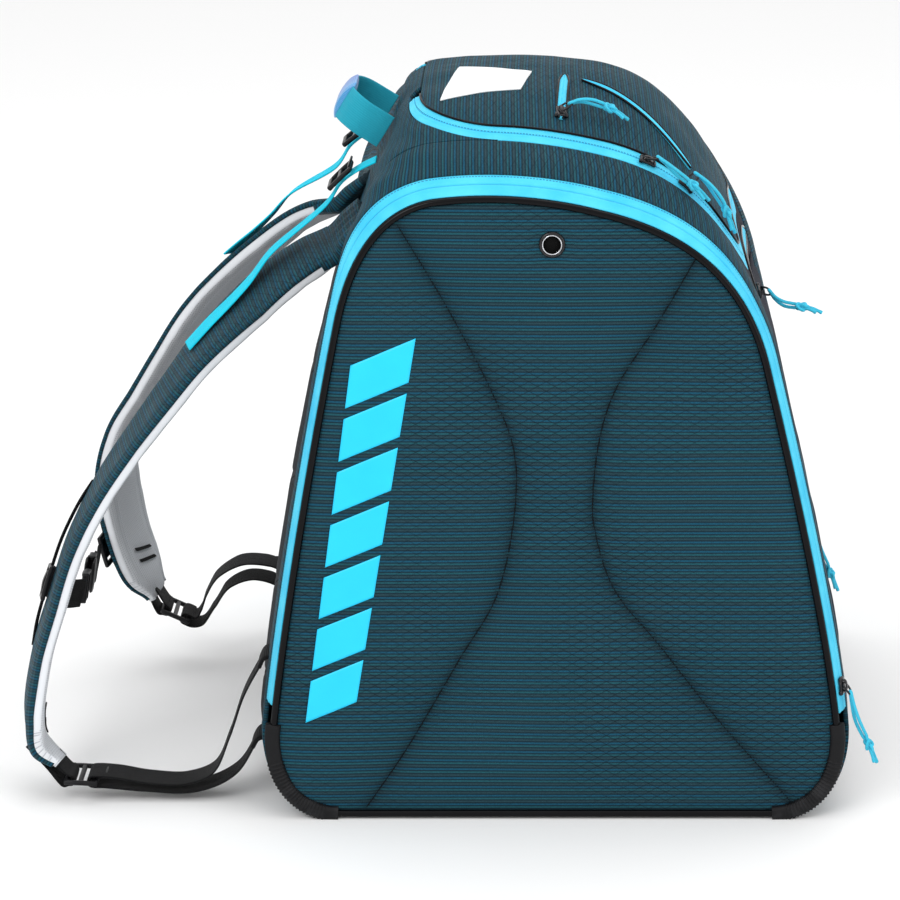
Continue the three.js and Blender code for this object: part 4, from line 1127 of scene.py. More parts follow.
def lid_details():
    """The lid's patch and pocket zip, the slit of its second pocket, and the front pocket's zip."""
    corners = np.array([(507, -76), (563, -62), (571, -24), (519, -2)], float)
    t, s = np.meshgrid(np.linspace(0, 1, 24), np.linspace(0, 1, 20), indexing="ij")
    t, s = t[..., None], s[..., None]
    place = mix(mix(corners[0], corners[1], t), mix(corners[3], corners[2], t), s)
    rise = lid_rise(place[..., 0], place[..., 1]) + 1.3
    patch = shell_slab("lid_patch_film", place[..., 0], place[..., 1], rise, 1.0, PALE_FILM)
    put(patch, "lid", "pale_patch", "lid_patch")
    strip_zip("lid_pocket_zip_tape", (595, -32), (590, -97), "lid", ["lid_pocket_tape"], half=3.0, lift=2.6)
    strip_zip("lid_side_pocket_tape", (608, -38), (688, -92), "lid", [], curve=-4, half=2.6, lift=2.8)
    strip_zip("front_zip_tape", (770, -96), (770, 96), "bag", ["front_tape"])


GRAPHIC_BARS = 7
GRAPHIC_FOOT, GRAPHIC_HEAD = np.array([-175, 72.0]), np.array([-139, 336.0])


def door_graphics():
    """A plain printed ornament on each door: a leaning column of slanted bars that widens upwards."""
    rise = (GRAPHIC_HEAD - GRAPHIC_FOOT) / GRAPHIC_BARS
    for side, direction in SIDES:
        for bar_number in range(GRAPHIC_BARS):
            corner = GRAPHIC_FOOT + rise * bar_number
            t, s = np.meshgrid(np.linspace(0, 1, 16), np.linspace(0, 1, 24), indexing="ij")
            width = 36 + 1.3 * (bar_number + t * 0.8)
            x = corner[0] + rise[0] * 0.8 * t + width * s
            z = corner[1] + rise[1] * 0.8 * t + width * 0.42 * s
            places = np.stack([x, z], -1)
            edge = np.full(x.shape, 0.5)
            relief = side_relief(places, edge, edge, 3 if direction == LEFT else 11)
            outer = mirrored(np.stack([x, -side_at(z) - relief - 0.28, z], -1), direction)
            inner = mirrored(np.stack([x, -side_at(z) - relief + 0.3, z], -1), direction)
            film = slab(f"{side}_door_bar_{bar_number + 1}", outer, inner, places, CYAN_FILM)
            put(film, f"{side}_door", "zip_tape")


# ---------------------------------------------------------------- bands

def make_band(route, turn=None, across=(0, 1, 0), steps=400):
    """A band's middle line, with its directions along, across and out of its face."""
    line = spline(route, steps)
    ahead = tangents(line)
    across = np.broadcast_to(np.array(across, float), line.shape)
    side = unit(across - ahead * np.sum(across * ahead, -1, keepdims=True))
    if turn is not None:
        angle = turn(np.linspace(0, 1, steps))[:, None]
        side = side * np.cos(angle) + np.cross(ahead, side) * np.sin(angle)
    return line, ahead, side, np.cross(side, ahead)


def sample(values, share):
    """Values along a band, at shares of its length."""
    share = np.asarray(share, float)
    steps = np.linspace(0, 1, len(values))
    return np.stack([np.interp(share, steps, values[:, k]) for k in range(3)], -1)


def on_band(band, share, beside, above):
    """Places on a band, at distances beside its middle line and above it."""
    line, _, side, face = (sample(part, share) for part in band)
    beside, above = (np.asarray(value, float)[..., None] for value in (beside, above))
    return line + side * beside + face * above


def band_length(band):
    return np.sum(np.linalg.norm(np.diff(band[0], axis=0), axis=1))


def flat_section(width, thickness, around=20, power=5.0):
    """A rounded flat section: distances beside the middle and above it."""
    angle = np.linspace(0, 2 * math.pi, around, endpoint=False)
    c, s = np.cos(angle), np.sin(angle)
    beside = np.sign(c) * np.abs(c) ** (2 / power) * width / 2
    above = np.sign(s) * np.abs(s) ** (2 / power) * thickness / 2
    return beside, above


WIDE_WEB, STERNUM_WEB, LIFTER_WEB = 25, 22, 20


def webbing(name, band, width, material, thickness=1.6, steps=120, span=(0, 1), sway=0.25, taper=None):
    """Flat webbing along a band, with edges that waver a little."""
    share = np.linspace(*span, steps)
    beside, above = flat_section(width, thickness)
    length = share * band_length(band)
    waver = sway * np.sin(length / 13) + sway * 0.5 * np.sin(length / 5.1 + 1)
    narrow = np.ones(steps) if taper is None else taper(share)
    shares = np.broadcast_to(share[:, None], (steps, len(beside)))
    besides = beside[None] * narrow[:, None] + waver[:, None]
    cup = 0.35 * (1 - (2 * beside / width) ** 2) * np.sin(length / 21)[:, None]
    rings = on_band(band, shares, besides, above[None] + cup)
    pattern = np.stack(np.broadcast_arrays(besides, length[:, None]), -1)
    return ring_body(name, rings, material, pattern)


def bar(points, width, height, material, across=(0, 1, 0), steps=28, power=3.4, round_end=1.2, name="bar"):
    """A rounded bar along a line of points, in millimetres."""
    band = make_band(points, across=across, steps=160)
    length = band_length(band)
    share = 0.5 - 0.5 * np.cos(np.linspace(0, math.pi, steps))
    near = np.minimum(share, 1 - share) * length / round_end
    swell = np.sqrt(np.maximum(0.02, 1 - np.maximum(0, 1 - near) ** 2))
    beside, above = flat_section(1, 1, 16, power)
    widths = np.interp(share, np.linspace(0, 1, len(np.atleast_1d(width))), np.atleast_1d(width))
    shares = np.broadcast_to(share[:, None], (steps, len(beside)))
    besides = beside[None] * (widths * mix(1, swell, 0.6))[:, None]
    rings = on_band(band, shares, besides, above[None] * (height * swell)[:, None])
    pattern = np.stack(np.broadcast_arrays(beside[None], (share * length)[:, None]), -1)
    return ring_body(name, rings, material, pattern)


def join(name, pieces):
    """One object made of the meshes of several."""
    joined = bmesh.new()
    for piece in pieces:
        joined.from_mesh(piece.data)
    mesh = bpy.data.meshes.new(name)
    mesh.materials.append(pieces[0].data.materials[0])
    joined.to_mesh(mesh)
    joined.free()
    for piece in pieces:
        bpy.data.objects.remove(piece)
    whole = bpy.data.objects.new(name, mesh)
    bpy.context.scene.collection.objects.link(whole)
    return whole


def laid(place, ahead, up):
    """A function from places in a fitting's own frame, X along it and Z up from it, to the bag's."""
    ahead = unit(np.array(ahead, float))
    up = np.array(up, float)
    up = unit(up - ahead * np.dot(up, ahead))
    basis = np.stack([ahead, np.cross(up, ahead), up])
    return lambda points: np.asarray(points, float) @ basis + np.asarray(place, float)


# ---------------------------------------------------------------- straps

STRAP_WIDTH, STRAP_THICKNESS = 66, 12
STRAP_ROUTES = {
    "left": [(-156, -60, 386), (-187, -65, 367), (-219, -68, 340), (-249, -74, 311), (-275, -82, 279),
             (-300, -89, 246), (-323, -96, 212), (-342, -105, 175), (-355, -115, 137), (-367, -126, 97),
             (-372, -139, 58), (-368, -145, 38), (-354, -148, 26)],
    "right": [(-157, 60, 386), (-186, 64, 375), (-216, 69, 352), (-243, 73, 327), (-268, 77, 299),
              (-289, 81, 267), (-308, 85, 235), (-327, 92, 203), (-337, 99, 167), (-335, 108, 131),
              (-327, 112, 94), (-312, 116, 61)],
}
TILT_SHARES = (0, 0.15, 0.3, 0.45, 0.6, 0.8, 1)
TILTS = {"left": (8, 15, 10, 6, 5, 7, 12), "right": (16, 19, 20, 18, 18, 17, 12)}  # degrees


def strap_tilt(side, share):
    """How far a strap's face is turned outwards, at a share of its length."""
    way = LEFT if side == "left" else RIGHT
    return way * np.radians(np.interp(share, TILT_SHARES, TILTS[side]))


STRAPS = {side: make_band(STRAP_ROUTES[side], partial(strap_tilt, side)) for side, _ in SIDES}
LOCKS = {
    "left": ((-338, -150, 16.2), (1, 0, -0.05), (0.05, 0, 1)),
    "right": ((-297.5, 118, 43.5), (0.9, 0, -0.42), (0.42, 0, 0.9)),
}
ADJUSTERS = {
    "left": [(-211, -149, 48), (-228, -149, 21), (-256, -149, 8), (-292, -150, 8.5), (-312, -150, 10.5),
             (-322, -150, 11.4), (-328.4, -150, 11.6), (-332.2, -150, 12.6), (-333.5, -150, 16),
             (-332, -150, 19.3), (-328, -150, 19.9), (-312, -150, 18.5), (-290, -150, 14.5),
             (-264, -149, 13.5), (-244, -149, 22), (-232, -149, 48), (-221, -149, 80), (-205.5, -149, 109)],
    "right": [(-212, 149, 68), (-228, 143, 76), (-248, 133, 79), (-265, 125, 71), (-274, 121, 57),
              (-278.5, 119, 45), (-282, 118, 41), (-287, 118, 43.2), (-290.8, 118, 44.2),
              (-293.4, 118, 41.5), (-293.4, 118, 37.8), (-290.2, 118, 35.6), (-284.5, 118, 33.6),
              (-277, 119, 35), (-268, 122, 47), (-257, 128, 61), (-241, 136, 66), (-224, 143, 61),
              (-212.5, 149, 50)],
}


def strap_taper(share):
    return mix(1, 0.55, smooth(share, 0.9, 1) ** 2)


def strap_folds(share, beside, seed):
    """Soft puckers of a strap's cloth: along its edges, and where its end is gathered."""
    length = share * 480
    edge = smooth(np.abs(beside), 0.55, 1)
    pucker = lattice_noise(length, beside * 40, 11, seed) * 0.5 * edge
    gather = np.sin(beside * 19 + 1.5 * np.sin(length / 9)) * smooth(share, 0.93, 1) * 0.7
    return pucker + gather + lattice_noise(length, beside * 50, 34, seed + 1) * 0.5


def strap_pad(side, seed):
    """The pad itself: pale mesh on the wearer's side and round both edges."""
    steps = 260
    band = STRAPS[side]
    share = np.linspace(0, 1, steps)
    beside, above = flat_section(1, 1, 56, 4.2)
    beside, above = beside * 2, above * 2
    shares = np.broadcast_to(share[:, None], (steps, len(beside)))
    spread = np.broadcast_to(beside[None], shares.shape)
    width = (STRAP_WIDTH / 2 - 1.2) * strap_taper(shares)
    plump = STRAP_THICKNESS / 2 * mix(0.62, 1, smooth(np.minimum(shares, 1 - shares), 0, 0.045))
    fold = strap_folds(shares, spread, seed)
    quilt = -1.3 * channel(np.abs(spread) - 0.66, 0.05) * (above < 0)
    lining = (above < 0)
    height = above * plump + np.sign(above) * (fold * np.abs(above) * lining + quilt * 0.8)
    rings = on_band(band, shares, spread * width + np.sign(spread) * fold * 0.35 * np.abs(spread), height)
    pattern = np.stack([spread * width, shares * band_length(band)], -1)
    return ring_body(f"{side}_strap_pad", rings, PALE_MESH, pattern)


def strap_cover(side, seed):
    """The striped cloth over the strap's outer face, rolled over its edges."""
    rows, columns = 300, 40
    band = STRAPS[side]
    s, b = np.meshgrid(np.linspace(0.0, 0.995, rows), np.linspace(-1, 1, columns), indexing="ij")
    width = STRAP_WIDTH / 2 * strap_taper(s)
    plump = mix(0.62, 1, smooth(np.minimum(s, 1 - s), 0, 0.045))
    crown = STRAP_THICKNESS / 2 * plump * (1 - np.abs(b) ** 7 * 0.5)
    seam = -0.55 * channel(np.abs(b) - 0.86, 0.035)
    rise = crown + 1.5 + seam + strap_folds(s, b, seed) * (1 - np.abs(b) ** 4) * 0.7
    outer = on_band(band, s, b * (width + 0.3), rise)
    inner = on_band(band, s, b * (width - 0.8), rise - 2.6)
    uv = np.stack([b * width, s * band_length(band)], -1)
    return slab(f"{side}_strap_cover", outer, inner, uv, STRAP_CLOTH)


def stitched_bars(side):
    """Two bars of close dark stitches on the wearer's side, near the strap's end."""
    band = STRAPS[side]
    threads = []
    for place in (0.905, 0.93):
        for stitch in np.linspace(-1, 1, 15):
            share = place + 0.012 * stitch
            middle = stitch * 12
            rise = -STRAP_THICKNESS / 2 - 0.8
            ends = [on_band(band, share + lean, middle + lean * 300, rise) for lean in (-0.004, 0.0, 0.004)]
            threads.append(bar(ends, 1.3, 1.1, BLACK_WEBBING, steps=8, round_end=0.6))
    return join(f"{side}_strap_stitches", threads)


def strap_root(side, direction):
    """The strap's top end, where its cloth is gathered into the seam across the back."""
    band = STRAPS[side]
    s, b = np.meshgrid(np.linspace(0, 1, 40), np.linspace(-1, 1, 40), indexing="ij")
    inside, start = np.array([-136.0, direction * 58, 408]), on_band(band, 0.0, 0, 0)
    route = [inside, mix(inside, start, 0.5) + np.array([0, 0, 0.8]), start, on_band(band, 0.035, 0, 0)]
    root = make_band(route, lambda share: strap_tilt(side, 0) * mix(0.6, 1, share))
    width = STRAP_WIDTH / 2 + 1.4 * (1 - s)
    thick = np.interp(s, (0, 0.3, 0.62, 1), (3.8, 5.2, 6.2, 4.6)) * (1 - np.abs(b) ** 7 * 0.4)
    gather = np.sin(b * 14 + s * 2) * 0.5 * (1 - smooth(s, 0.3, 0.7))
    outer = on_band(root, s, b * width, thick + gather)
    inner = on_band(root, s, b * width, -thick)
    uv = np.stack([b * width, s * band_length(root)], -1)
    cloth = slab(f"{side}_strap_root", outer, inner, uv, STRAP_CLOTH)
    put(cloth, None, "striped_fabric")
    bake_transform(cloth)


def straps():
    for side, direction in SIDES:
        seed = 201 if direction == LEFT else 221
        pad = put(strap_pad(side, seed), "harness", "strap_lining", f"{side}_strap")
        put(strap_cover(side, seed + 4), "harness", "striped_fabric")
        strap_root(side, direction)
        put(stitched_bars(side), "harness", "black_webbing")
        band = STRAPS[side]
        place, ahead, up = LOCKS[side]
        local = laid(place, ahead, up)
        start = [on_band(band, 0.95, 0, 6.4), on_band(band, 0.985, 0, 5.4)]
        loop = local([(-12.6, 0, -4.6), (-9, 0, -3.6), (-6, 0, -3), (-4.9, 0, 0), (-6, 0, 3.0),
                      (-9.5, 0, 4.2)])
        tab = make_band([*start, *loop, on_band(band, 0.985, 0, -2)])
        tab = webbing(f"{side}_strap_tab", tab, WIDE_WEB, BLACK_WEBBING, steps=80, sway=0.1)
        put(tab, "harness", "black_webbing")


# ---------------------------------------------------------------- webbing and buckles

def adjusters():
    for side, direction in SIDES:
        band = make_band(ADJUSTERS[side])
        web = webbing(f"{side}_adjuster_webbing", band, WIDE_WEB, BLACK_WEBBING, steps=260)
        put(web, None, "black_webbing", f"{side}_adjuster_web")
        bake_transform(web)
        ladder_lock(side)
        adjuster_patch(side)


def adjuster_patch(side):
    """Where the web is sewn in at the side's rear edge: a folded tab."""
    route = ADJUSTERS[side]
    for end, (first, second) in {"lower": (route[0], route[1]), "upper": (route[-1], route[-2])}.items():
        start, towards = np.array(first, float), np.array(second, float)
        ahead = unit(towards - start)
        points = [start + np.array([9, 0, 0]) - ahead * 2, start - ahead * 0.5, start + ahead * 9]
        name = f"{side}_{end}_web_tab"
        tab = bar(points, 27, 3.4, BLACK_WEBBING, steps=24, power=5, round_end=2, name=name)
        put(tab, "bag", "black_webbing")


def fitting(name, parts, frame_of, material, body, slot, *nodes):
    """A buckle or clip, made of rounded bars given in its own frame."""
    bars = [bar(frame_of(points), width, height, material, across=across_of(frame_of, across))
            for points, width, height, across in parts]
    return put(join(name, bars), body, slot, *nodes)


def across_of(frame_of, direction):
    return frame_of([direction])[0] - frame_of([(0, 0, 0)])[0]


ALONG, ACROSS = (1, 0, 0), (0, 1, 0)


def frame_parts(length, width, bars, rail=3.2, height=3.4, bow=0.0):
    """Two side rails, joined by cross bars at places along them with their own widths and heights."""
    half, edge = length / 2, width / 2 - rail / 2
    parts = []
    for way in (-1, 1):
        rails = [(-half, way * edge, 0), (-half / 2, way * (edge + bow), 0.3), (0, way * (edge + bow), 0.4),
                 (half / 2, way * (edge + bow), 0.3), (half, way * edge, 0)]
        parts.append((rails, rail, height, ACROSS))
    for place, breadth, thick, rise in bars:
        cross = [(place, -edge - 0.6, rise), (place, 0, rise), (place, edge + 0.6, rise)]
        parts.append((cross, breadth, thick, ALONG))
    return parts


def ladder_lock(side):
    """A ladder lock: a frame with a middle bar and a tilted thumb tab."""
    local = laid(*LOCKS[side])
    crossbars = [(-10.6, 3.2, 3.4, 0), (-0.4, 3.4, 3.2, 0.3), (10.6, 3.6, 2.6, 0.8)]
    parts = frame_parts(24, 34, crossbars, bow=0.4)
    tab = [(9.6, 0, 1.0), (14, 0, 2.6), (18, 0, 4.4)]
    parts.append((tab, (24, 22, 15), 1.9, ACROSS))
    name = f"{side}_ladder_lock"
    fitting(f"{name}_body", parts, local, BLACK_PLASTIC, "harness", "black_plastic", name)


LIFTER_TOP = [(-126, 447), (-138, 441), (-150, 432), (-161, 416)]
LIFTER_ON_STRAP = {
    "left": [(0.09, 12), (0.14, 6), (0.19, 4), (0.24, 3.5), (0.28, 3.5)],
    "right": [(0.07, 12), (0.11, 6), (0.15, 4), (0.19, 3.5), (0.22, 3.5)],
}
LIFTER_BESIDE = {"left": 8, "right": 20}  # from the strap's middle towards the other strap


def lifters():
    """The cyan webs from the top of the back over a buckle and down on to each strap."""
    for side, direction in SIDES:
        strap = STRAPS[side]
        route = [(x, direction * 60, z) for x, z in LIFTER_TOP]
        route += [on_band(strap, share, -direction * LIFTER_BESIDE[side], STRAP_THICKNESS / 2 + rise)
                  for share, rise in LIFTER_ON_STRAP[side]]
        tilt = strap_tilt(side, 0.25)
        band = make_band(route, lambda share, tilt=tilt: tilt * smooth(share, 0.3, 1))
        web = webbing(f"{side}_lifter_webbing", band, LIFTER_WEB, CYAN_WEBBING, steps=200, sway=0.4)
        put(web, None, "cyan_webbing", f"{side}_lifter_web")
        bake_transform(web)
        line, ahead, _, face = (sample(part, 0.14) for part in band)
        local = laid(line + face * 3.4, ahead, face)
        parts = frame_parts(22, 28, [(-9.6, 3, 3.2, 0), (0, 3.2, 3, 0.3), (9.6, 3.2, 2.6, 0.6)], bow=0.3)
        parts.append(([(-8.6, 0, 1), (-12, 0, 2.4), (-15, 0, 4)], (20, 17, 12), 1.8, ACROSS))
        name = f"{side}_lifter_buckle"
        fitting(f"{name}_body", parts, local, BLACK_PLASTIC, "harness", "black_plastic", name)


STERNUM_SHARE = {"left": 0.71, "right": 0.87}
STERNUM_RISE = STRAP_THICKNESS / 2 + 4.6
STERNUM_MIDDLE = np.array([-350.0, 0, 112])


def sternum_slides():
    """The slide on each strap, on a thin rail sewn to the strap's face."""
    for side, direction in SIDES:
        strap, share = STRAPS[side], STERNUM_SHARE[side]
        place = on_band(strap, share, -direction * 22, STERNUM_RISE)
        _, ahead, _, face = (sample(part, share) for part in strap)
        local = laid(place, ahead, face)
        parts = frame_parts(26, 22, [(-11.2, 3.6, 3.2, 0), (11.2, 3.6, 3.2, 0)], rail=3.4)
        parts.append(([(-8, 0, 1.6), (0, 0, 2.4), (8, 0, 1.6)], (9, 11, 9), 1.6, ACROSS))
        name = f"{side}_sternum_slide"
        fitting(f"{name}_body", parts, local, BLACK_PLASTIC, "sternum_strap", "black_plastic", name)
        low, high = (share - 0.17, share + 0.1) if direction == LEFT else (share - 0.16, 0.96)
        rail = np.linspace(low, high, 9)
        lift = STRAP_THICKNESS / 2 + 1.2 + 3.0 * np.sin(np.linspace(0, math.pi, 9)) ** 0.7
        route = on_band(strap, rail, np.full(9, -direction * 22.0), lift)
        cord = tube(f"{side}_sternum_rail", spline(route, 80), 1.3, PIPING_VINYL, 10)
        put(cord, "harness", "piping")


def sternum_webs():
    for side, direction in SIDES:
        start = on_band(STRAPS[side], STERNUM_SHARE[side], -direction * 41, STERNUM_RISE)
        end = STERNUM_MIDDLE + np.array([0, direction * 31.0, 0])
        route = [start, mix(start, end, 0.12) + np.array([-1, 0, 0]),
                 mix(start, end, 0.5) + np.array([0, 0, -6]), end]
        band = make_band(route, across=(0.15, 0, 1))
        web = webbing(f"{side}_sternum_webbing", band, STERNUM_WEB, BLACK_WEBBING, steps=110)
        if side == "left":
            put(web, None, "black_webbing", "left_sternum_web")
            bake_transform(web)
        else:
            put(web, "sternum_strap", "black_webbing", "right_sternum_web")


def sternum_clip():
    """A side-release clip: a tongue with two springs, and its socket."""
    local = laid(STERNUM_MIDDLE, (0, 1, 0), (-1, 0, 0.15))
    tongue = frame_parts(10, 24, [(-4, 3, 5, 0), (4, 3.4, 6, 0)], rail=3.2, height=5.4)
    tongue = [([(x - 18.4, y, z) for x, y, z in points], w, h, a) for points, w, h, a in tongue]
    for way in (-1, 1):
        prong = [(-15, way * 7, 0), (-9, way * 8.6, 0), (-3, way * 7.4, 0)]
        tongue.append((prong, 3, 4.6, ACROSS))
    tongue.append(([(-15, 0, 0), (-9, 0, 0), (-2.6, 0, 0)], (5, 4, 3), 3.6, ACROSS))
    fitting("sternum_tongue_body", tongue, local, BLACK_PLASTIC, "sternum_tongue", "black_plastic",
            "sternum_clip_tongue")
    socket = [([(1, 0, 2.6), (8, 0, 3.2), (15, 0, 2.6)], (24, 27, 25), 2.6, ACROSS),
              ([(1, 0, -2.6), (8, 0, -3.2), (15, 0, -2.6)], (24, 27, 25), 2.6, ACROSS)]
    for way in (-1, 1):
        socket.append(([(11, way * 12, 0), (15, way * 12.2, 0)], 3, 6.6, ACROSS))
        socket.append(([(14, way * 11.6, 0), (24, way * 11.2, 0)], 3.2, 5.4, ACROSS))
    socket.append(([(22.6, -11, 0), (22.6, 0, 0), (22.6, 11, 0)], 3.2, 4.6, ALONG))
    socket.append(([(15.4, -11, 0), (15.4, 0, 0), (15.4, 11, 0)], 3.2, 6.6, ALONG))
    fitting("sternum_socket_body", socket, local, BLACK_PLASTIC, "sternum_strap", "black_plastic",
            "sternum_clip_socket")


# ---------------------------------------------------------------- handle

HANDLE_FOOT, HANDLE_RISE, HANDLE_REACH = (-117.3, 459.5), (-0.85, 0.53), 38.4
HANDLE_OUTLINE = [(-38, 3.6), (-38, 13), (-36, 25), (-30, 33.5), (-22, 37.8), (-12, 38.4), (0, 38.4),
                  (12, 38.4), (22, 37.8), (30, 33.5), (36, 25), (38, 13), (38, 3.6)]


def handle_point(sideways, rise):
    return (HANDLE_FOOT[0] + HANDLE_RISE[0] * rise, sideways, HANDLE_FOOT[1] + HANDLE_RISE[1] * rise)


def grab_handle():
    """The webbing handle with its padded sleeve."""
    route = [handle_point(*place) for place in HANDLE_OUTLINE]
    band = make_band(route, across=(HANDLE_RISE[1], 0, -HANDLE_RISE[0]))
    web = webbing("handle_webbing", band, WIDE_WEB, TEAL_WEBBING, thickness=2, steps=160)
    put(web, "handle", "cyan_webbing", "grab_handle")
    steps, around = 110, 44
    angle = np.linspace(0, 2 * math.pi, around, endpoint=False)
    y = np.linspace(-19, 19, steps)
    middle = np.array([handle_point(place, HANDLE_REACH) for place in y])
    across = np.array([HANDLE_RISE[1], 0, -HANDLE_RISE[0]])
    out = np.cross(np.array([0.0, 1, 0]), across)
    c, s = np.cos(angle), np.sin(angle)
    beside = np.sign(c) * np.abs(c) ** 0.62 * 15
    above = np.sign(s) * np.abs(s) ** 0.8 * 4.9 * np.sqrt(np.maximum(0.12, 1 - (beside / 15.6) ** 2))
    drawn = 1 - 0.12 * smooth(np.abs(y), 14, 19)
    fold = lattice_noise(y[:, None] + beside[None] * 0.3, beside[None] + above[None], 9, 251) * 0.4
    reach = (beside[None] * drawn[:, None])[..., None] * across
    lift = (above[None] * (drawn[:, None] + fold * 0.12))[..., None] * out
    pattern = np.stack(np.broadcast_arrays(beside[None], y[:, None]), -1)
    grip = ring_body("handle_sleeve", middle[:, None] + reach + lift, GRIP_CLOTH, pattern)
    put(grip, "handle", "grip_fabric", "handle_grip")


# ---------------------------------------------------------------- sliders and pulls

DOOR_PULL = [(207.5, -183, 91.5), (209.5, -183, 82), (213, -182, 70), (218.5, -181, 58), (223.5, -180, 47),
             (226, -179, 38)]
PULL_ROUTES = {
    "left_door": DOOR_PULL,
    "right_door": [(x, -y, z) for x, y, z in DOOR_PULL],
    "front": [(151.5, -93, 359), (155, -95, 355), (161, -97, 351.5), (168.5, -99, 350.5), (176, -101, 350),
              (182.5, -102, 349)],
    "lid_rear": [(72, -123, 462), (77, -125.5, 458.5), (83, -127.5, 453.5), (90, -128.5, 448),
                 (97, -129, 442.5), (102.5, -129, 437)],
    "lid_front": [(98, -118, 449.5), (103.5, -118, 445), (109.5, -118, 438), (115, -118, 430),
                  (119.5, -118, 421), (123, -118, 411.5)],
    "lid_pocket": [(11.5, -91, 494), (17, -91, 495.5), (24.5, -91, 495), (32.5, -91, 492.5),
                   (40, -91.5, 489.5), (46.5, -92, 485.5)],
}
SLIDERS = {
    "left_door": ((201.1, -179.6, 96.6), (0.15, -0.06, -0.99), (0.9, -0.41, 0.16)),
    "right_door": ((201.1, 179.6, 96.6), (0.15, 0.06, -0.99), (0.9, 0.41, 0.16)),
    "front": ((143.8, -87, 357.5), (-0.07, 0.99, 0.11), (0.96, 0.04, 0.28)),
    "lid_rear": ((63.8, -118.8, 458.4), (-0.91, 0.02, 0.42), (0.42, -0.2, 0.88)),
    "lid_front": ((90.1, -119.2, 442.1), (0.78, -0.02, -0.63), (0.6, -0.25, 0.75)),
    "lid_pocket": ((4.1, -90.9, 487.6), (0.04, -0.94, -0.34), (0.13, -0.34, 0.93)),
}
STRAND = 2.4  # the cord's diameter


def knot_path(centre, ahead, side, face, size):
    """An overhand knot: a line that goes twice round and three times through."""
    t = np.linspace(0, 2 * math.pi, 120, endpoint=False)
    out = 2 + np.cos(3 * t)
    x, y, z = out * np.cos(2 * t), out * np.sin(2 * t), 1.4 * np.sin(3 * t)
    return centre + size * (x[:, None] * ahead * 1.25 + y[:, None] * side + z[:, None] * face)


def pull_cords():
    """Each slider's pull: a doubled cord that is knotted near its end and leaves two short tails."""
    steps, knot_at = 90, 66
    for name, route in PULL_ROUTES.items():
        line = spline(route, steps)
        ahead, side, face = carried_frames(line, (0.2, 1, 0.1))
        share = np.linspace(0, 1, steps)
        turn = 0.5 + 1.3 * share
        apart = 1.22 + 0.9 * np.sin(math.pi * np.clip(share / 0.74, 0, 1)) ** 2
        sway = np.cos(turn)[:, None] * side + np.sin(turn)[:, None] * face
        body = f"{name}_zip_slider"
        centre, onward, aside = line[knot_at], ahead[knot_at], side[knot_at]
        paths = []
        for way in (-1, 1):
            strand = (line + sway * (way * apart)[:, None])[:knot_at - 6:6]
            tail = [centre + onward * step + aside * way * (1.1 + step * 0.2)
                    - np.array([0, 0, 0.02]) * step ** 2
                    for step in (0, 4, 8, 12 + 1.5 * way)]
            paths.append(spline(np.concatenate([strand, tail]), 120))
        extras = [put(knot(name, centre, onward, aside, face[knot_at]), body, "pull_cord"),
                  put(bight(name, paths), body, "pull_cord")]
        for number, path in enumerate(paths, 1):
            swell = 1 + 0.14 * smooth(np.linspace(0, 1, len(path)), 0.93, 0.97)
            cord = tube(f"{name}_pull_strand_{number}", path, STRAND / 2 * swell, CORD_CLOTH, 12)
            nodes = [f"{name}_pull"] if number == 1 else []
            put(cord, body, "pull_cord", *nodes)
            extras = []


def knot(name, centre, ahead, side, face):
    path = knot_path(centre, ahead, side, face, 1.25)
    return tube(f"{name}_pull_knot", path, STRAND / 2 * 1.05, CORD_CLOTH, 12, (0.3, 0.2, 1), True)


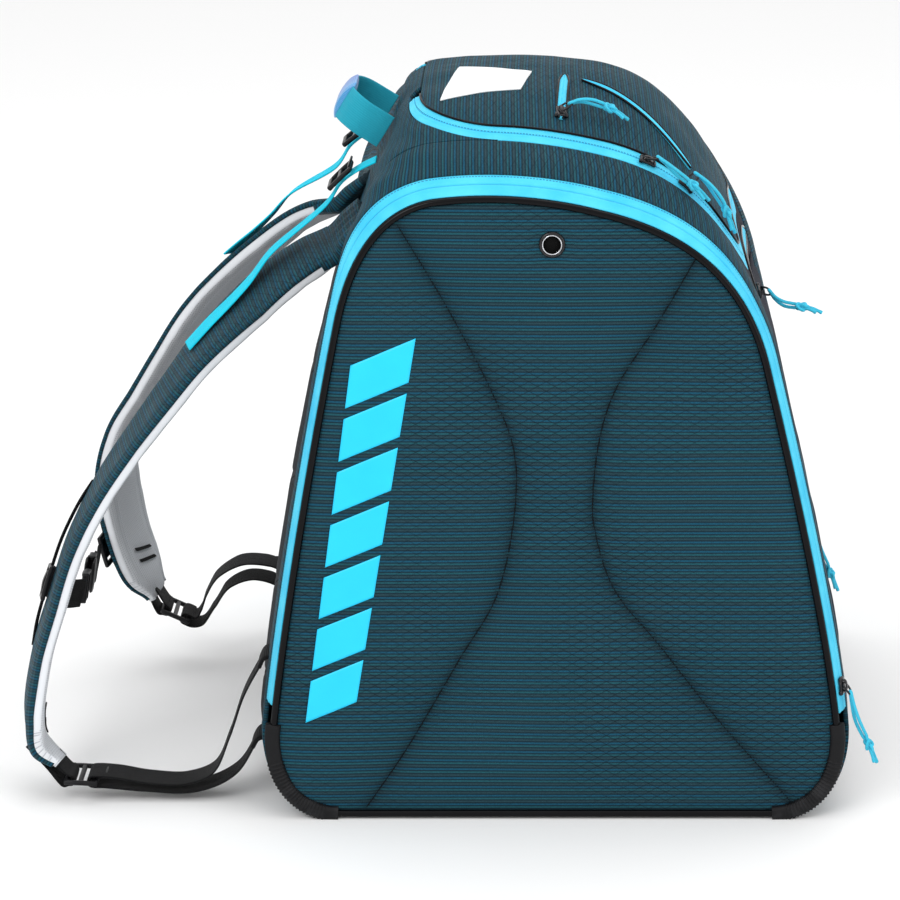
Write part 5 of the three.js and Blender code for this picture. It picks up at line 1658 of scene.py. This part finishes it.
def bight(name, paths):
    """The turn of the cord round the slider's ring, which joins the two strands."""
    first, second = paths
    back = unit(first[0] - first[3] + second[0] - second[3])
    middle = (first[0] + second[0]) / 2
    turn = [first[1], first[0] + back * 0.6, middle + back * 1.9, second[0] + back * 0.6, second[1]]
    path = spline(turn, 30)
    return tube(f"{name}_pull_bight", path, STRAND / 2 * 0.98, CORD_CLOTH, 12)


def zip_sliders():
    """Each slider: a tapered body, a bridge over it and a wire ring that the pull is tied to."""
    for name, (place, ahead, up) in SLIDERS.items():
        local = laid(place, ahead, up)
        parts = [([(-6.2, 0, 0.2), (0, 0, 0.5), (6.2, 0, 0.2)], (6.6, 7.4, 9), 2.6, ACROSS),
                 ([(-4.4, 0, 1.2), (-3.4, 0, 3.2), (0, 0, 3.9), (3.4, 0, 3.2), (4.4, 0, 1.2)],
                  2.6, 1.1, ACROSS),
                 ([(3.4, -3.4, 0.4), (6.4, -3.9, 0.3)], 2.2, 3.2, ACROSS),
                 ([(3.4, 3.4, 0.4), (6.4, 3.9, 0.3)], 2.2, 3.2, ACROSS)]
        body = f"{name}_zip_slider"
        node = f"{name}_slider"
        fitting(f"{name}_zip_body", parts, local, ENAMEL, body, "dark_metal", node)
        bridge = local([(0, 0, 3.0)])[0]
        exit_place = np.array(PULL_ROUTES[name][0], float)
        reach = exit_place - bridge
        length = np.linalg.norm(reach)
        reach = reach / length
        across = unit(np.cross(reach, local([(0, 0, 1)])[0] - local([(0, 0, 0)])[0]))
        half = 2.4
        corners = [(-1.2, -half), (length * 0.5, -half - 0.5), (length - 0.4, -half + 0.6),
                   (length + 0.5, 0),
                   (length - 0.4, half - 0.6), (length * 0.5, half + 0.5), (-1.2, half), (-2, 0)]
        ring = np.array([bridge + reach * a + across * b for a, b in corners])
        ring = np.concatenate([ring, ring[:1]])
        wire = tube(f"{name}_pull_ring", spline(ring, 60)[:-1], 0.75, ENAMEL, 10, (0.3, 0.1, 1), True)
        put(wire, body, "dark_metal")


# ---------------------------------------------------------------- the whole bag

add_camera()
pull_cords()
add_studio()
side_panels()
pipings()
corner_guards()
eyelets()
door_zips()
lid_zips()
gussets()
lid()
back_panel()
front_panel()
base()
dividers()
lid_details()
door_graphics()
straps()
adjusters()
lifters()
sternum_slides()
sternum_webs()
sternum_clip()
grab_handle()
zip_sliders()
